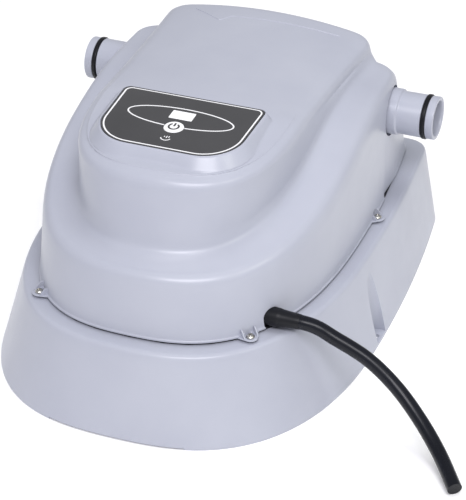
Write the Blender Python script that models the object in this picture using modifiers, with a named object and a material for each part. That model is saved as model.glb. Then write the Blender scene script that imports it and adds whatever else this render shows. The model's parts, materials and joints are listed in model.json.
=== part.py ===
"""Inline electric pool heater: two-tier housing on a flared base, hose ports, control panel and mains cord.

Metres, +Z up. The origin is the centre of the footprint on the ground, the panel faces -Y and the water
flows along +X, from the inlet port to the outlet port.
"""

import math

import bmesh
import bpy
from mathutils import Matrix, Vector

GAP = 0.0003
MERGE = 0.00001
WALL = 0.0030
HOUSING_WALL = 0.0025
DECK_TOP = 0.0760
SEAM_Z = 0.0780
FRONT_STEPS = 11
SIDE_STEPS = 4
CORNER_STEPS = 3
SHOULDER_FRONT = -0.1650
SHOULDER_RUN = 0.2550
SHOULDER_LOW = 0.1340
SHOULDER_RISE = 0.0530
LOFTED_SHELLS = ("upper_housing", "base_shell")

# Water path
PORT_Y = 0.1232
PORT_Z = 0.1527
PORT_REACH = 0.1635
PIPE_RADIUS = 0.0190
BORE_RADIUS = 0.0154
COLLAR_RADIUS = 0.0203
PORT_HOLE_RADIUS = 0.0225
PORT_FLAT_RADIUS = 0.0262
PORT_FLAT_X = 0.1228
O_RING_X = 0.1543
O_RING_WIDTH = 0.0038
O_RING_OUTER = 0.01985
FLANGE_RADIUS = 0.0270
FLANGE_X = 0.0900
NUT_RADIUS = 0.0310
TANK_RADIUS = 0.0340
TANK_BORE = 0.0310
TANK_HALF = 0.0700
TANK_END = 0.0880
SADDLE_X = 0.0620

# Control panel, in the frame of its tilted plane
PANEL_Y = -0.0720
PANEL_Z = 0.2154
PANEL_TILT = math.radians(3.0)
PANEL_BACK = 0.0420
PANEL_FRONT = -0.0405
PANEL_HALF = 0.0620
DISPLAY_Y = 0.0120
DISPLAY_SIZE = (0.0200, 0.0120)
BUTTON_Y = -0.0065
BUTTON_RADIUS = 0.0084
INDICATOR_Y = -0.0230
INDICATOR_RADIUS = 0.0018
BOARD_DEPTH = 0.0150

# Fixings
SCREW_SPOTS = ((0.0925, -0.1484), (0.1302, 0.0640), (0.0800, 0.2060))
SCREW_HEAD_RADIUS = 0.0036
SCREW_SHANK_RADIUS = 0.0019
SCREW_HOLE_RADIUS = 0.0023
EAR_RADIUS = 0.0066
GASKET_INSET = 0.0007
GASKET_WIDTH = 0.0020
EAR_TOP = 0.0792
POCKET_RADIUS = 0.0056
POCKET_HEIGHT = 0.0085
ANCHOR_X = 0.1545
ANCHOR_Y = -0.0030
ANCHOR_RADIUS = 0.0110
ANCHOR_THICKNESS = 0.0030

# Cord
CORD_RADIUS = 0.0056
CORD_EXIT = Vector((0.1060, -0.1240, 0.0860))
CORD_HEADING = math.radians(0.0)
NOTCH_RADIUS = 0.0082
BOOT_LENGTH = 0.0200
BOOT_TIP_RADIUS = 0.0063
CORD_WAY = ((0.1400, -0.1228, 0.0832), (0.1530, -0.1222, 0.0770), (0.1820, -0.1230, 0.0640),
            (0.2080, -0.1280, 0.0470), (0.2320, -0.1400, 0.0300),
            (0.2550, -0.1590, 0.0150), (0.2770, -0.1880, 0.0062))
CORD_STEPS = 3

# Inside
DECK_FLOOR = DECK_TOP - WALL
ELEMENT_X = -0.0300
ELEMENT_REACH = 0.0240
ELEMENT_LEG = 0.0090
ELEMENT_RADIUS = 0.0035
SWITCH_X = 0.0440
PROBE_X = -0.0360
CUTOUT_X = 0.0280
BOARD_CENTRE = Vector((-0.0150, -0.0600, 0.0840))
BOARD_SIZE = (0.1200, 0.0850, 0.0016)
HINGE_Z = 0.1785
TERMINAL_SPOT = Vector((0.0700, -0.0600, DECK_TOP + GAP))

COLOURS = {
    "case": ((0.62, 0.63, 0.71), 0.42, 0.0),
    "dark_plastic": ((0.035, 0.036, 0.040), 0.45, 0.0),
    "rubber": ((0.018, 0.018, 0.020), 0.70, 0.0),
    "panel": ((0.060, 0.060, 0.065), 0.35, 0.0),
    "white": ((0.80, 0.80, 0.82), 0.35, 0.0),
    "window": ((0.70, 0.72, 0.75), 0.15, 0.0),
    "steel": ((0.70, 0.70, 0.70), 0.30, 1.0),
    "brass": ((0.75, 0.58, 0.28), 0.35, 1.0),
    "board": ((0.04, 0.22, 0.09), 0.50, 0.0),
    "tank": ((0.16, 0.17, 0.19), 0.50, 0.0),
    "red_plastic": ((0.50, 0.06, 0.04), 0.45, 0.0),
    "blue_plastic": ((0.05, 0.10, 0.42), 0.45, 0.0),
    "green_plastic": ((0.10, 0.35, 0.08), 0.45, 0.0),
}

# Each level of a shell: half width, front, widest y, back, half width at the back, corner radius, how far
# the back bows forwards at its sides, exponent of the front curve, and a height. A height is a plain number
# for a flat level, three rises over the shoulder line (at the front, at y = 0 and at the back), or a
# one-item tuple for a drop below the crown.
HOUSING_LEVELS = (
    (0.1280, -0.1800, 0.025, 0.2030, 0.1165, 0.016, 0.0, 2.65, SEAM_Z),
    (0.1266, -0.1742, 0.015, 0.1630, 0.1215, 0.018, 0.012, 2.45, (-0.0095, -0.0150, -0.0120)),
    (0.1253, -0.1732, 0.010, 0.1615, 0.1211, 0.018, 0.014, 2.40, (-0.0047, -0.0072, -0.0070)),
    (0.1231, -0.1714, 0.005, 0.1600, 0.1202, 0.018, 0.016, 2.36, (-0.0021, -0.0034, -0.0035)),
    (0.1199, -0.1688, 0.000, 0.1590, 0.1188, 0.018, 0.017, 2.32, (-0.0003, -0.0009, -0.0010)),
    (0.1158, -0.1658, 0.000, 0.1583, 0.1165, 0.018, 0.017, 2.30, (0.0005, 0.0003, 0.0003)),
    (0.1060, -0.1605, 0.000, 0.1576, 0.1090, 0.018, 0.015, 2.30, (0.0030, 0.0020, 0.0012)),
    (0.0980, -0.1555, 0.000, 0.1572, 0.1025, 0.016, 0.009, 2.30, (0.0070, 0.0042, 0.0022)),
    (0.0942, -0.1515, 0.000, 0.1560, 0.0990, 0.015, 0.005, 2.35, (0.0105, 0.0070, 0.0042)),
    (0.0923, -0.1485, 0.000, 0.1550, 0.0965, 0.014, 0.003, 2.40, (0.0180, 0.0120, 0.0070)),
    (0.0902, -0.1400, -0.010, 0.1532, 0.0955, 0.014, 0.001, 2.60, (0.0100,)),
    (0.0892, -0.1382, -0.015, 0.1518, 0.0945, 0.014, 0.0, 2.65, (0.0060,)),
    (0.0868, -0.1352, -0.020, 0.1498, 0.0922, 0.013, 0.0, 2.65, (0.0026,)),
    (0.0820, -0.1295, -0.020, 0.1460, 0.0875, 0.012, 0.0, 2.65, (0.0007,)),
)
CROWN_SCALES = (0.80, 0.42)
CROWN_TOP = 0.2175
CROWN_CENTRE_Y = 0.0300
CROWN_DIP = 0.1500
BASE_LEVELS = (
    (0.1590, -0.2160, 0.005, 0.2160, 0.1450, 0.014, 0.0, 2.65, 0.0),
    (0.1428, -0.1972, 0.030, 0.2165, 0.1333, 0.018, 0.0, 2.65, 0.0705),
    (0.1412, -0.1950, 0.030, 0.2155, 0.1320, 0.018, 0.0, 2.65, 0.0748),
    (0.1385, -0.1920, 0.030, 0.2135, 0.1295, 0.018, 0.0, 2.65, DECK_TOP),
)


# ---------------------------------------------------------------- scene helpers

def clear_scene():
    for item in list(bpy.data.objects):
        bpy.data.objects.remove(item, do_unlink=True)


def new_collection(name):
    group = bpy.data.collections.new(name)
    bpy.context.scene.collection.children.link(group)
    return group


def material(name):
    found = bpy.data.materials.get(name)
    if found:
        return found
    colour, roughness, metallic = COLOURS[name]
    made = bpy.data.materials.new(name)
    made.use_nodes = True
    shader = made.node_tree.nodes["Principled BSDF"]
    shader.inputs["Base Color"].default_value = (*colour, 1.0)
    shader.inputs["Roughness"].default_value = roughness
    shader.inputs["Metallic"].default_value = metallic
    return made


def link(name, data, finish=None):
    """Puts a mesh or curve in the scene: a part when it has a finish, else a cutter."""
    item = bpy.data.objects.new(name, data)
    if finish:
        PARTS.objects.link(item)
        data.materials.append(material(finish))
    else:
        CUTTERS.objects.link(item)
        item.hide_render = True
        item.display_type = "WIRE"
    return item


def mesh_from(name, build):
    """Makes a mesh by handing an empty bmesh to build()."""
    shape = bmesh.new()
    build(shape)
    bmesh.ops.recalc_face_normals(shape, faces=shape.faces)
    mesh = bpy.data.meshes.new(name)
    shape.to_mesh(mesh)
    shape.free()
    return mesh


def smooth(item, degrees=35.0):
    item.data.shade_smooth()
    item.data.set_sharp_from_angle(angle=math.radians(degrees))


def block(name, size, centre, finish=None, bevel=0.0):
    mesh = mesh_from(name, lambda shape: bmesh.ops.create_cube(shape, size=1.0))
    mesh.transform(Matrix.Diagonal((*size, 1.0)))
    item = link(name, mesh, finish)
    item.location = centre
    if bevel:
        edge = item.modifiers.new("edges", "BEVEL")
        edge.width = bevel
        edge.segments = 1
    return item


def rod(name, radius, start, end, finish=None, steps=20):
    """A cylinder from start to end."""
    start = Vector(start)
    way = Vector(end) - start

    def build(shape):
        bmesh.ops.create_cone(shape, cap_ends=True, segments=steps, radius1=radius, radius2=radius,
                              depth=way.length)

    item = link(name, mesh_from(name, build), finish)
    item.location = start + way / 2
    item.rotation_euler = way.to_track_quat("Z", "Y").to_euler()
    smooth(item)
    return item


def turned(name, profile, location, axis, finish=None, closed=False, steps=24):
    """Turns (radius, height) points about axis; the points run down the outer side first."""
    def build(shape):
        points = [shape.verts.new((radius, 0.0, height)) for radius, height in profile]
        ends = points[1:] + points[:1] if closed else points[1:]
        for first, second in zip(points, ends):
            shape.edges.new((first, second))

    item = link(name, mesh_from(name, build), finish)
    screw = item.modifiers.new("turn", "SCREW")
    screw.steps = steps
    screw.render_steps = steps
    screw.use_merge_vertices = True
    screw.merge_threshold = MERGE
    screw.use_smooth_shade = True
    item.location = location
    item.rotation_euler = Vector(axis).to_track_quat("Z", "Y").to_euler()
    return item


def plate(name, outline, thickness, location, finish=None, rotation=(0.0, 0.0, 0.0)):
    """A flat outline of (x, y) points given a thickness about its plane."""
    curve = bpy.data.curves.new(name, "CURVE")
    curve.dimensions = "2D"
    curve.fill_mode = "BOTH"
    curve.extrude = thickness / 2
    line = curve.splines.new("POLY")
    line.points.add(len(outline) - 1)
    for point, (x, y) in zip(line.points, outline):
        point.co = (x, y, 0.0, 1.0)
    line.use_cyclic_u = True
    item = link(name, curve, finish)
    item.location = location
    item.rotation_euler = rotation
    return item


def tube(name, points, radius, finish=None, resolution=2):
    """A round wire through the points, with closed ends."""
    curve = bpy.data.curves.new(name, "CURVE")
    curve.dimensions = "3D"
    curve.bevel_depth = radius
    curve.bevel_resolution = resolution
    curve.use_fill_caps = True
    line = curve.splines.new("POLY")
    line.points.add(len(points) - 1)
    for point, place in zip(line.points, points):
        point.co = (*place, 1.0)
    return link(name, curve, finish)


def meshed(item):
    """Replaces a curve object by a welded mesh object with the same name and place."""
    bpy.context.view_layer.update()
    name = item.name
    finish = item.data.materials[0].name if item.data.materials else None
    mesh = bpy.data.meshes.new_from_object(item.evaluated_get(bpy.context.evaluated_depsgraph_get()))
    shape = bmesh.new()
    shape.from_mesh(mesh)
    bmesh.ops.remove_doubles(shape, verts=shape.verts, dist=MERGE)
    bmesh.ops.recalc_face_normals(shape, faces=shape.faces)
    shape.to_mesh(mesh)
    shape.free()
    place = item.matrix_world.copy()
    parent = item.parent
    bpy.data.objects.remove(item, do_unlink=True)
    mesh.materials.clear()
    made = link(name, mesh, finish)
    made.parent = parent
    made.matrix_world = place
    return made


def combine(target, other, operation):
    """Adds a Boolean step. The exact solver leaves open edges on the lofted shells, so they get the other."""
    step = target.modifiers.new(other.name, "BOOLEAN")
    step.operation = operation
    step.object = other
    step.solver = "MANIFOLD" if target.name in LOFTED_SHELLS else "EXACT"


def cut(target, *others):
    for other in others:
        combine(target, other, "DIFFERENCE")


def join(target, *others):
    for other in others:
        combine(target, other, "UNION")


def along(item, frame):
    """Hangs an item on an empty, keeping its placing as local to the empty."""
    item.parent = frame
    return item


# ---------------------------------------------------------------- shell surfaces

def crown_height(x, y):
    """Height of the housing's top before its edge rounding: arched across, falling towards the front."""
    across = 0.0085 * (x / 0.085) ** 2
    ahead = max(0.0, -y - 0.022)
    return CROWN_TOP - across - CROWN_DIP * ahead * ahead / (ahead + 0.020)


def plan_outline(width, front, widest, back, back_width, corner, bow, power):
    """Closed outline: a superellipse in front, bowed sides, rounded rear corners and a bowed back."""
    half = []
    for index in range(FRONT_STEPS + 1):
        turn = math.pi / 2 * index / FRONT_STEPS
        x = width * math.sin(turn) ** (2 / power)
        y = widest - (widest - front) * abs(math.cos(turn)) ** (2 / power)
        half.append((x, y))
    side_end = back - bow - corner
    for index in range(1, SIDE_STEPS + 1):
        part = index / SIDE_STEPS
        half.append((width + (back_width - width) * part * part, widest + (side_end - widest) * part))
    for index in range(1, CORNER_STEPS + 1):
        turn = math.pi / 2 * index / CORNER_STEPS
        half.append((back_width - corner + corner * math.cos(turn), side_end + corner * math.sin(turn)))
    half.append(((back_width - corner) / 2, back - bow / 4))
    half.append((0.0, back))
    mirrored = [(-x, y) for x, y in reversed(half[1:-1])]
    return half + mirrored


def shoulder_height(y):
    """Height of the lower tier's shoulder, sweeping up from the front to the back."""
    part = min(1.0, max(0.0, (y - SHOULDER_FRONT) / SHOULDER_RUN))
    return SHOULDER_LOW + SHOULDER_RISE * part * part * (3.0 - 2.0 * part)


def level_height(level, x, y, drop):
    """Height of a level's line at (x, y), less a drop."""
    front, back, height = level[1], level[3], level[8]
    if isinstance(height, float):
        return height - drop
    if len(height) == 1:
        return crown_height(x, y) - height[0] - drop
    low, middle, high = height
    bend_front = (low - middle) / front
    bend_back = (high - middle) / back
    curve = (bend_back - bend_front) / (back - front)
    slope = bend_front - curve * front
    return shoulder_height(y) + middle + slope * y + curve * y * y - drop


def level_normal(levels, index):
    """Outward direction (across, up) of the wall at a level, seen in the cross-section at y = 0."""
    def spot(number):
        level = levels[max(0, min(len(levels) - 1, number))]
        return Vector((level[0], level_height(level, level[0], 0.0, 0.0)))

    way = spot(index + 1) - spot(index - 1)
    return Vector((way.y, -way.x)).normalized()


def level_ring(levels, index, inset):
    """Points of a level's line, moved inwards by inset along the wall's normal."""
    level = levels[index]
    normal = level_normal(levels, index)
    side, drop = inset * normal.x, inset * normal.y
    width, front, widest, back, back_width, corner, bow, power = level[:8]
    outline = plan_outline(width - side, front + side, widest, back - max(side, 0.9 * inset),
                           back_width - side,
                           max(corner - side, 0.004), bow, power)
    return [Vector((x, y, level_height(level, x, y, drop))) for x, y in outline]


def crown_rings(ring, inset):
    """Rings that close the top over the last level, on the crown surface."""
    rings = []
    for scale in CROWN_SCALES:
        line = []
        for point in ring:
            x = point.x * scale
            y = CROWN_CENTRE_Y + (point.y - CROWN_CENTRE_Y) * scale
            line.append(Vector((x, y, crown_height(x, y) - inset)))
        rings.append(line)
    return rings


def loft(name, rings, peak=None, finish=None):
    """Skins rings of equal count from the bottom up; the bottom is a flat face, the top a fan or a face."""
    def build(shape):
        rows = [[shape.verts.new(point) for point in ring] for ring in rings]
        count = len(rows[0])
        for lower, upper in zip(rows, rows[1:]):
            for index in range(count):
                after = (index + 1) % count
                shape.faces.new((lower[index], lower[after], upper[after], upper[index]))
        shape.faces.new(list(reversed(rows[0])))
        if peak is None:
            shape.faces.new(rows[-1])
        else:
            tip = shape.verts.new(peak)
            for index in range(count):
                shape.faces.new((rows[-1][index], rows[-1][(index + 1) % count], tip))

    return link(name, mesh_from(name, build), finish)


def housing_body(name, inset, finish=None):
    rings = [level_ring(HOUSING_LEVELS, index, inset) for index in range(len(HOUSING_LEVELS))]
    if inset:
        for point in rings[0]:
            point.z = SEAM_Z - 0.004
    rings += crown_rings(rings[-1], inset)
    peak = Vector((0.0, CROWN_CENTRE_Y, crown_height(0.0, CROWN_CENTRE_Y) - inset))
    return loft(name, rings, peak, finish)


def panel_outline(grow, steps=6):
    """D-shaped panel outline grown by an offset, from the straight back edge to the big front corners."""
    back_radius, corner_x, corner_y = 0.006 + grow * 0.5, 0.033, 0.034
    half = []
    for index in range(steps + 1):
        turn = math.pi / 2 * index / steps
        x = PANEL_HALF - 0.001 - corner_x + (corner_x + grow) * math.sin(turn)
        y = PANEL_FRONT + corner_y - (corner_y + grow) * math.cos(turn)
        half.append((x, y))
    for index in range(3):
        turn = math.pi / 2 * index / 2
        x = PANEL_HALF + grow - back_radius + back_radius * math.cos(turn)
        y = PANEL_BACK + grow * 0.3 - back_radius + back_radius * math.sin(turn)
        half.append((x, y))
    left = [(-x, y) for x, y in reversed(half)]
    return half + left


def panel_to_world(x, y, z):
    return PANEL_FRAME.matrix_world @ Vector((x, y, z))


def panel_pad(name, grow, lift):
    """Raised pad that carries the panel, standing from inside the crown up to the panel's plane."""
    foot = [panel_to_world(x, y, -0.017 + lift) for x, y in panel_outline(0.0139 + grow)]
    shoulder = [panel_to_world(x, y, -0.0020 + lift) for x, y in panel_outline(0.0036 + grow)]
    top = [panel_to_world(x, y, lift) for x, y in panel_outline(0.0010 + grow)]
    return loft(name, [foot, shoulder, top])


# ---------------------------------------------------------------- housing and base

def mirrored_spots():
    """Screw places, right then left, from the front to the back."""
    spots = []
    for x, y in SCREW_SPOTS:
        spots += [(x, y), (-x, y)]
    return spots


def port_flat(name, side, inner):
    """Slab with an arched top, from the plane x = inner outwards: the flat on the wall around a port."""
    foot = SEAM_Z - PORT_Z - 0.006
    outline = [(-PORT_FLAT_RADIUS, foot), (PORT_FLAT_RADIUS, foot)]
    outline += [(PORT_FLAT_RADIUS * math.cos(turn), PORT_FLAT_RADIUS * math.sin(turn))
                for turn in [math.pi * index / 14 for index in range(15)]]
    thickness = 0.0120
    centre = (side * (inner + thickness / 2), PORT_Y, PORT_Z)
    return meshed(plate(name, outline, thickness, centre, rotation=(math.pi / 2, 0, math.pi / 2)))


def housing_cavity():
    """Room inside the housing, leaving screw columns, board posts and the walls behind the port flats."""
    cavity = housing_body("housing_room", HOUSING_WALL)
    join(cavity, panel_pad("pad_room", -WALL, -WALL))
    for side in (1, -1):
        cut(cavity, port_flat(f"flat_backing_{side}", side, PORT_FLAT_X - WALL))
    for index, (x, y) in enumerate(mirrored_spots()):
        cut(cavity, rod(f"screw_column_{index}", POCKET_RADIUS + 0.0028, (x, y, SEAM_Z - 0.006),
                        (x, y, EAR_TOP + POCKET_HEIGHT + WALL), steps=12))
    for index, (x, y) in enumerate(board_post_spots()):
        cut(cavity, rod(f"board_post_{index}", 0.0028, panel_to_world(x, y, -BOARD_DEPTH + GAP),
                        panel_to_world(x, y, 0.0), steps=8))
    return cavity


def make_upper_housing():
    housing = housing_body("upper_housing", 0.0, "case")
    join(housing, panel_pad("pad", 0.0, 0.0))
    for index, (x, y) in enumerate(mirrored_spots()):
        join(housing, rod(f"ear_{index}", EAR_RADIUS, (x, y, SEAM_Z), (x, y, EAR_TOP), steps=16))
    cut(housing, housing_cavity())
    for index, (x, y) in enumerate(mirrored_spots()):
        cut(housing, rod(f"pocket_{index}", POCKET_RADIUS, (x, y, EAR_TOP - 0.0004),
                         (x, y, EAR_TOP + POCKET_HEIGHT),
                         steps=16))
        cut(housing, rod(f"screw_way_{index}", SCREW_HOLE_RADIUS, (x, y, SEAM_Z - 0.01),
                         (x, y, EAR_TOP + 0.01),
                         steps=8))
    for side in (1, -1):
        cut(housing, port_flat(f"port_flat_{side}", side, PORT_FLAT_X),
            rod(f"port_hole_{side}", PORT_HOLE_RADIUS, (side * 0.108, PORT_Y, PORT_Z),
                (side * 0.140, PORT_Y, PORT_Z),
                steps=28))
    cut(housing, *notch_cutters(), *panel_cutters())
    smooth(housing, 28.0)
    return housing


def notch_cutters():
    """Arch in the seam where the cord leaves."""
    ahead = Vector((math.cos(CORD_HEADING), math.sin(CORD_HEADING), 0.0))
    arch = rod("notch_arch", NOTCH_RADIUS, CORD_EXIT - ahead * 0.020, CORD_EXIT + ahead * 0.030, steps=24)
    height = CORD_EXIT.z - SEAM_Z + 0.004
    leg = block("notch_leg", (0.050, 2 * NOTCH_RADIUS - 0.00002, height),
                CORD_EXIT + ahead * 0.005 - Vector((0, 0, height / 2)))
    leg.rotation_euler.z = CORD_HEADING
    return arch, leg


def panel_cutters():
    """Recess for the panel, and the openings under the display, the button and the indicator."""
    recess = meshed(plate("panel_recess", panel_outline(GAP), 0.0042, (0, 0, 0.0010)))
    window = block("display_way", (DISPLAY_SIZE[0] + 0.003, DISPLAY_SIZE[1] + 0.003, 0.02),
                   (0, DISPLAY_Y, -0.004))
    button = rod("button_way", BUTTON_RADIUS + 0.0004, (0, BUTTON_Y, -0.012), (0, BUTTON_Y, 0.004),
                 steps=28)
    lamp = rod("indicator_way", INDICATOR_RADIUS + 0.0006, (0, INDICATOR_Y, -0.012),
               (0, INDICATOR_Y, 0.004),
               steps=12)
    return [along(item, PANEL_FRAME) for item in (recess, window, button, lamp)]


def base_cavity():
    """Room under the deck, leaving ribs, screw posts and the pocket walls standing."""
    rings = [level_ring(BASE_LEVELS, index, WALL) for index in range(2)]
    for ring, height in zip(rings, (-0.002, DECK_FLOOR)):
        for point in ring:
            point.z = height
    cavity = loft("base_room", rings)
    for index, x in enumerate((-0.075, 0.0, 0.075)):
        cut(cavity, block(f"long_rib_{index}", (0.0025, 0.46, 0.020), (x, 0, DECK_FLOOR - 0.008)))
    for index, y in enumerate((-0.110, -0.020, 0.070, 0.150)):
        cut(cavity, block(f"cross_rib_{index}", (0.34, 0.0025, 0.018), (0, y, DECK_FLOOR - 0.007)))
    for index, (x, y) in enumerate(mirrored_spots()):
        cut(cavity, rod(f"base_post_{index}", 0.0062, (x, y, 0.046), (x, y, DECK_FLOOR + 0.001), steps=12))
    for side in (1, -1):
        cut(cavity, rod(f"pocket_wall_{side}", ANCHOR_RADIUS + 0.0026, (side * ANCHOR_X, ANCHOR_Y, -0.01),
                        (side * ANCHOR_X, ANCHOR_Y, DECK_FLOOR + 0.001), steps=20))
    return cavity


def make_base_shell():
    base = loft("base_shell", [level_ring(BASE_LEVELS, index, 0.0) for index in range(len(BASE_LEVELS))],
                finish="case")
    cut(base, base_cavity())
    for side in (1, -1):
        cut(base, rod(f"anchor_pocket_{side}", ANCHOR_RADIUS, (side * ANCHOR_X, ANCHOR_Y, ANCHOR_THICKNESS),
                      (side * ANCHOR_X, ANCHOR_Y, 0.072), steps=28))
        cut(base, rod(f"anchor_hole_{side}", 0.0026, (side * (ANCHOR_X - 0.001), ANCHOR_Y, -0.01),
                      (side * (ANCHOR_X - 0.001), ANCHOR_Y, 0.01), steps=14))
    cut(base, block("front_relief", (0.118, 0.060, 0.0035), (0, -0.215, 0.0)))
    for index, (x, y) in enumerate(mirrored_spots()):
        cut(base, rod(f"thread_{index}", SCREW_HOLE_RADIUS, (x, y, 0.052), (x, y, DECK_TOP + 0.01),
                      steps=8))
    for index, (x, y) in enumerate(board_corners()):
        post = rod(f"board_stand_{index}", 0.0036, (x, y, DECK_TOP - 0.001), (x, y, BOARD_CENTRE.z - GAP),
                   steps=10)
        join(base, post)
        cut(base, rod(f"board_thread_{index}", 0.0016, (x, y, DECK_TOP + 0.001),
                      (x, y, BOARD_CENTRE.z + 0.01),
                      steps=8))
    for index, (x, y) in enumerate(clamp_spots()):
        post = rod(f"clamp_stand_{index}", 0.0040, (x, y, DECK_TOP - 0.001), (x, y, CORD_EXIT.z - GAP),
                   steps=12)
        join(base, post)
        cut(base, rod(f"clamp_thread_{index}", 0.0017, (x, y, DECK_TOP + 0.001), (x, y, CORD_EXIT.z + 0.01),
                      steps=8))
    smooth(base, 28.0)
    return base


def make_gasket():
    """Seal ring between the housing's foot and the deck."""
    width, front, widest, back, back_width, corner, bow, power = HOUSING_LEVELS[0][:8]

    def ring(inset, height):
        outline = plan_outline(width - inset, front + inset, widest, back - inset, back_width - inset,
                               corner - inset,
                               bow, power)
        return [Vector((x, y, height)) for x, y in outline]

    low, high = DECK_TOP + GAP, SEAM_Z - GAP
    rings = [ring(GASKET_INSET, low), ring(GASKET_INSET, high), ring(GASKET_INSET + GASKET_WIDTH, high),
             ring(GASKET_INSET + GASKET_WIDTH, low)]

    def build(shape):
        loops = [[shape.verts.new(point) for point in line] for line in rings]
        count = len(loops[0])
        for lower, upper in zip(loops, loops[1:] + loops[:1]):
            for index in range(count):
                after = (index + 1) % count
                shape.faces.new((lower[index], lower[after], upper[after], upper[index]))

    return link("housing_gasket", mesh_from("housing_gasket", build), "rubber")


def pan_screw(name, head_radius, shank_radius, length, place, axis=(0, 0, 1), finish="steel"):
    """Pan-head screw whose head's underside is at place."""
    head = 0.0024
    profile = ((0, head), (head_radius * 0.6, head * 0.92), (head_radius, head * 0.4), (head_radius, 0),
               (shank_radius, 0), (shank_radius, -length), (0, -length))
    return turned(name, profile, place, axis, finish, steps=10)


def make_housing_screws():
    for index, (x, y) in enumerate(mirrored_spots()):
        pan_screw(f"housing_screw_{index + 1}", SCREW_HEAD_RADIUS, SCREW_SHANK_RADIUS, 0.0260,
                  (x, y, EAR_TOP + GAP - 0.0004))


# ---------------------------------------------------------------- water path

def make_port(name, side):
    """Hose port: flange inside, collar at the wall, pipe with an O-ring groove near the mouth."""
    near, far = O_RING_X - O_RING_WIDTH / 2 - GAP, O_RING_X + O_RING_WIDTH / 2 + GAP
    groove, lip = 0.0170, 0.0012
    profile = ((BORE_RADIUS, PORT_REACH), (PIPE_RADIUS - lip, PORT_REACH), (PIPE_RADIUS, PORT_REACH - lip),
               (PIPE_RADIUS, far), (groove, far), (groove, near), (PIPE_RADIUS, near), (PIPE_RADIUS, 0.1310),
               (COLLAR_RADIUS, 0.1302), (COLLAR_RADIUS, 0.0940), (FLANGE_RADIUS, 0.0940),
               (FLANGE_RADIUS, FLANGE_X), (BORE_RADIUS, FLANGE_X))
    return turned(name, profile, (0, PORT_Y, PORT_Z), (side, 0, 0), "case", closed=True, steps=28)


def make_ring(name, side, inner, outer, near, far, finish, chamfer=0.0):
    profile = [(outer - chamfer, far), (outer, far - chamfer), (outer, near + chamfer),
               (outer - chamfer, near),
               (inner, near), (inner, far)] if chamfer else [(outer, far), (outer, near), (inner, near),
                                                             (inner, far)]
    return turned(name, profile, (0, PORT_Y, PORT_Z), (side, 0, 0), finish, closed=True, steps=24)


def make_nut(name, side):
    """Union nut that draws the port's flange onto the tank's."""
    profile = ((COLLAR_RADIUS + 0.0005, 0.0968), (NUT_RADIUS - 0.001, 0.0968), (NUT_RADIUS, 0.0958),
               (NUT_RADIUS, 0.0842), (FLANGE_RADIUS + 0.0004, 0.0842), (FLANGE_RADIUS + 0.0004, 0.0943),
               (COLLAR_RADIUS + 0.0005, 0.0943))
    return turned(name, profile, (0, PORT_Y, PORT_Z), (side, 0, 0), "dark_plastic", closed=True, steps=20)


def make_tank():
    """Flow tank: a long barrel with flanged ends and necks for the element, the switch and the probe."""
    profile = [(BORE_RADIUS, TANK_END), (FLANGE_RADIUS, TANK_END), (FLANGE_RADIUS, 0.0842),
               (0.0215, 0.0842),
               (0.0215, 0.0800), (TANK_RADIUS, TANK_HALF)]
    inside = [(TANK_BORE, -TANK_HALF + 0.004), (TANK_BORE, TANK_HALF - 0.004), (BORE_RADIUS, 0.0790)]
    profile = profile + [(radius, -height) for radius, height in reversed(profile)]
    profile = profile + [(BORE_RADIUS, -0.0790)] + inside
    tank = turned("heater_tank", profile, (0, PORT_Y, PORT_Z), (1, 0, 0), "tank", closed=True, steps=24)
    neck_front = PORT_Y - TANK_RADIUS - 0.0052
    join(tank, rod("element_neck", 0.0200, (ELEMENT_X, PORT_Y - 0.0315, PORT_Z),
                   (ELEMENT_X, neck_front, PORT_Z),
                   steps=20),
         rod("switch_neck", 0.0120, (SWITCH_X, PORT_Y, PORT_Z + 0.0315), (SWITCH_X, PORT_Y, 0.1920),
             steps=16),
         rod("probe_neck", 0.0080, (PROBE_X, PORT_Y, PORT_Z + 0.0315), (PROBE_X, PORT_Y, 0.1900), steps=12))
    cut(tank, rod("element_way", 0.0160, (ELEMENT_X, PORT_Y - 0.012, PORT_Z), (ELEMENT_X, 0.0600, PORT_Z),
                  steps=20),
        rod("switch_way", 0.0085, (SWITCH_X, PORT_Y, PORT_Z + 0.012), (SWITCH_X, PORT_Y, 0.2000), steps=16),
        rod("probe_way", 0.0031, (PROBE_X, PORT_Y, PORT_Z + 0.020), (PROBE_X, PORT_Y, 0.2000), steps=10))
    return tank


def arc_points(centre, first, second, start, end, steps):
    """Points on an arc about centre, in the plane of two radius vectors."""
    centre, first, second = Vector(centre), Vector(first), Vector(second)
    turns = [start + (end - start) * index / steps for index in range(steps + 1)]
    return [centre + first * math.cos(turn) + second * math.sin(turn) for turn in turns]


def make_element():
    """Sheathed hairpin element on its round flange: in through the flange, along the tank and back."""
    bend = 0.0110
    corner_y = PORT_Y - bend
    upper = [Vector((ELEMENT_X, 0.0700, ELEMENT_LEG))]
    upper += arc_points((ELEMENT_X + bend, corner_y, ELEMENT_LEG), (-bend, 0, 0), (0, bend, 0), 0,
                        math.pi / 2, 4)
    turn = arc_points((ELEMENT_REACH, PORT_Y, 0), (0, 0, ELEMENT_LEG), (ELEMENT_LEG, 0, 0), 0, math.pi, 6)
    lower = [Vector((point.x, point.y, -point.z)) for point in reversed(upper)]
    way = [point + Vector((0, 0, PORT_Z)) for point in upper + turn + lower]
    element = meshed(tube("heating_element", way, ELEMENT_RADIUS, "steel"))
    join(element, rod("element_flange", 0.0200, (ELEMENT_X, 0.0790, PORT_Z), (ELEMENT_X, 0.0822, PORT_Z),
                      steps=20))
    smooth(element)
    neck_front = PORT_Y - TANK_RADIUS - 0.0052
    turned("element_gasket", ((0.0198, neck_front - GAP), (0.0198, 0.0825), (0.0163, 0.0825),
                              (0.0163, neck_front - GAP)),
           (ELEMENT_X, 0, PORT_Z), (0, 1, 0), "rubber", closed=True, steps=20)
    return element


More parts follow.
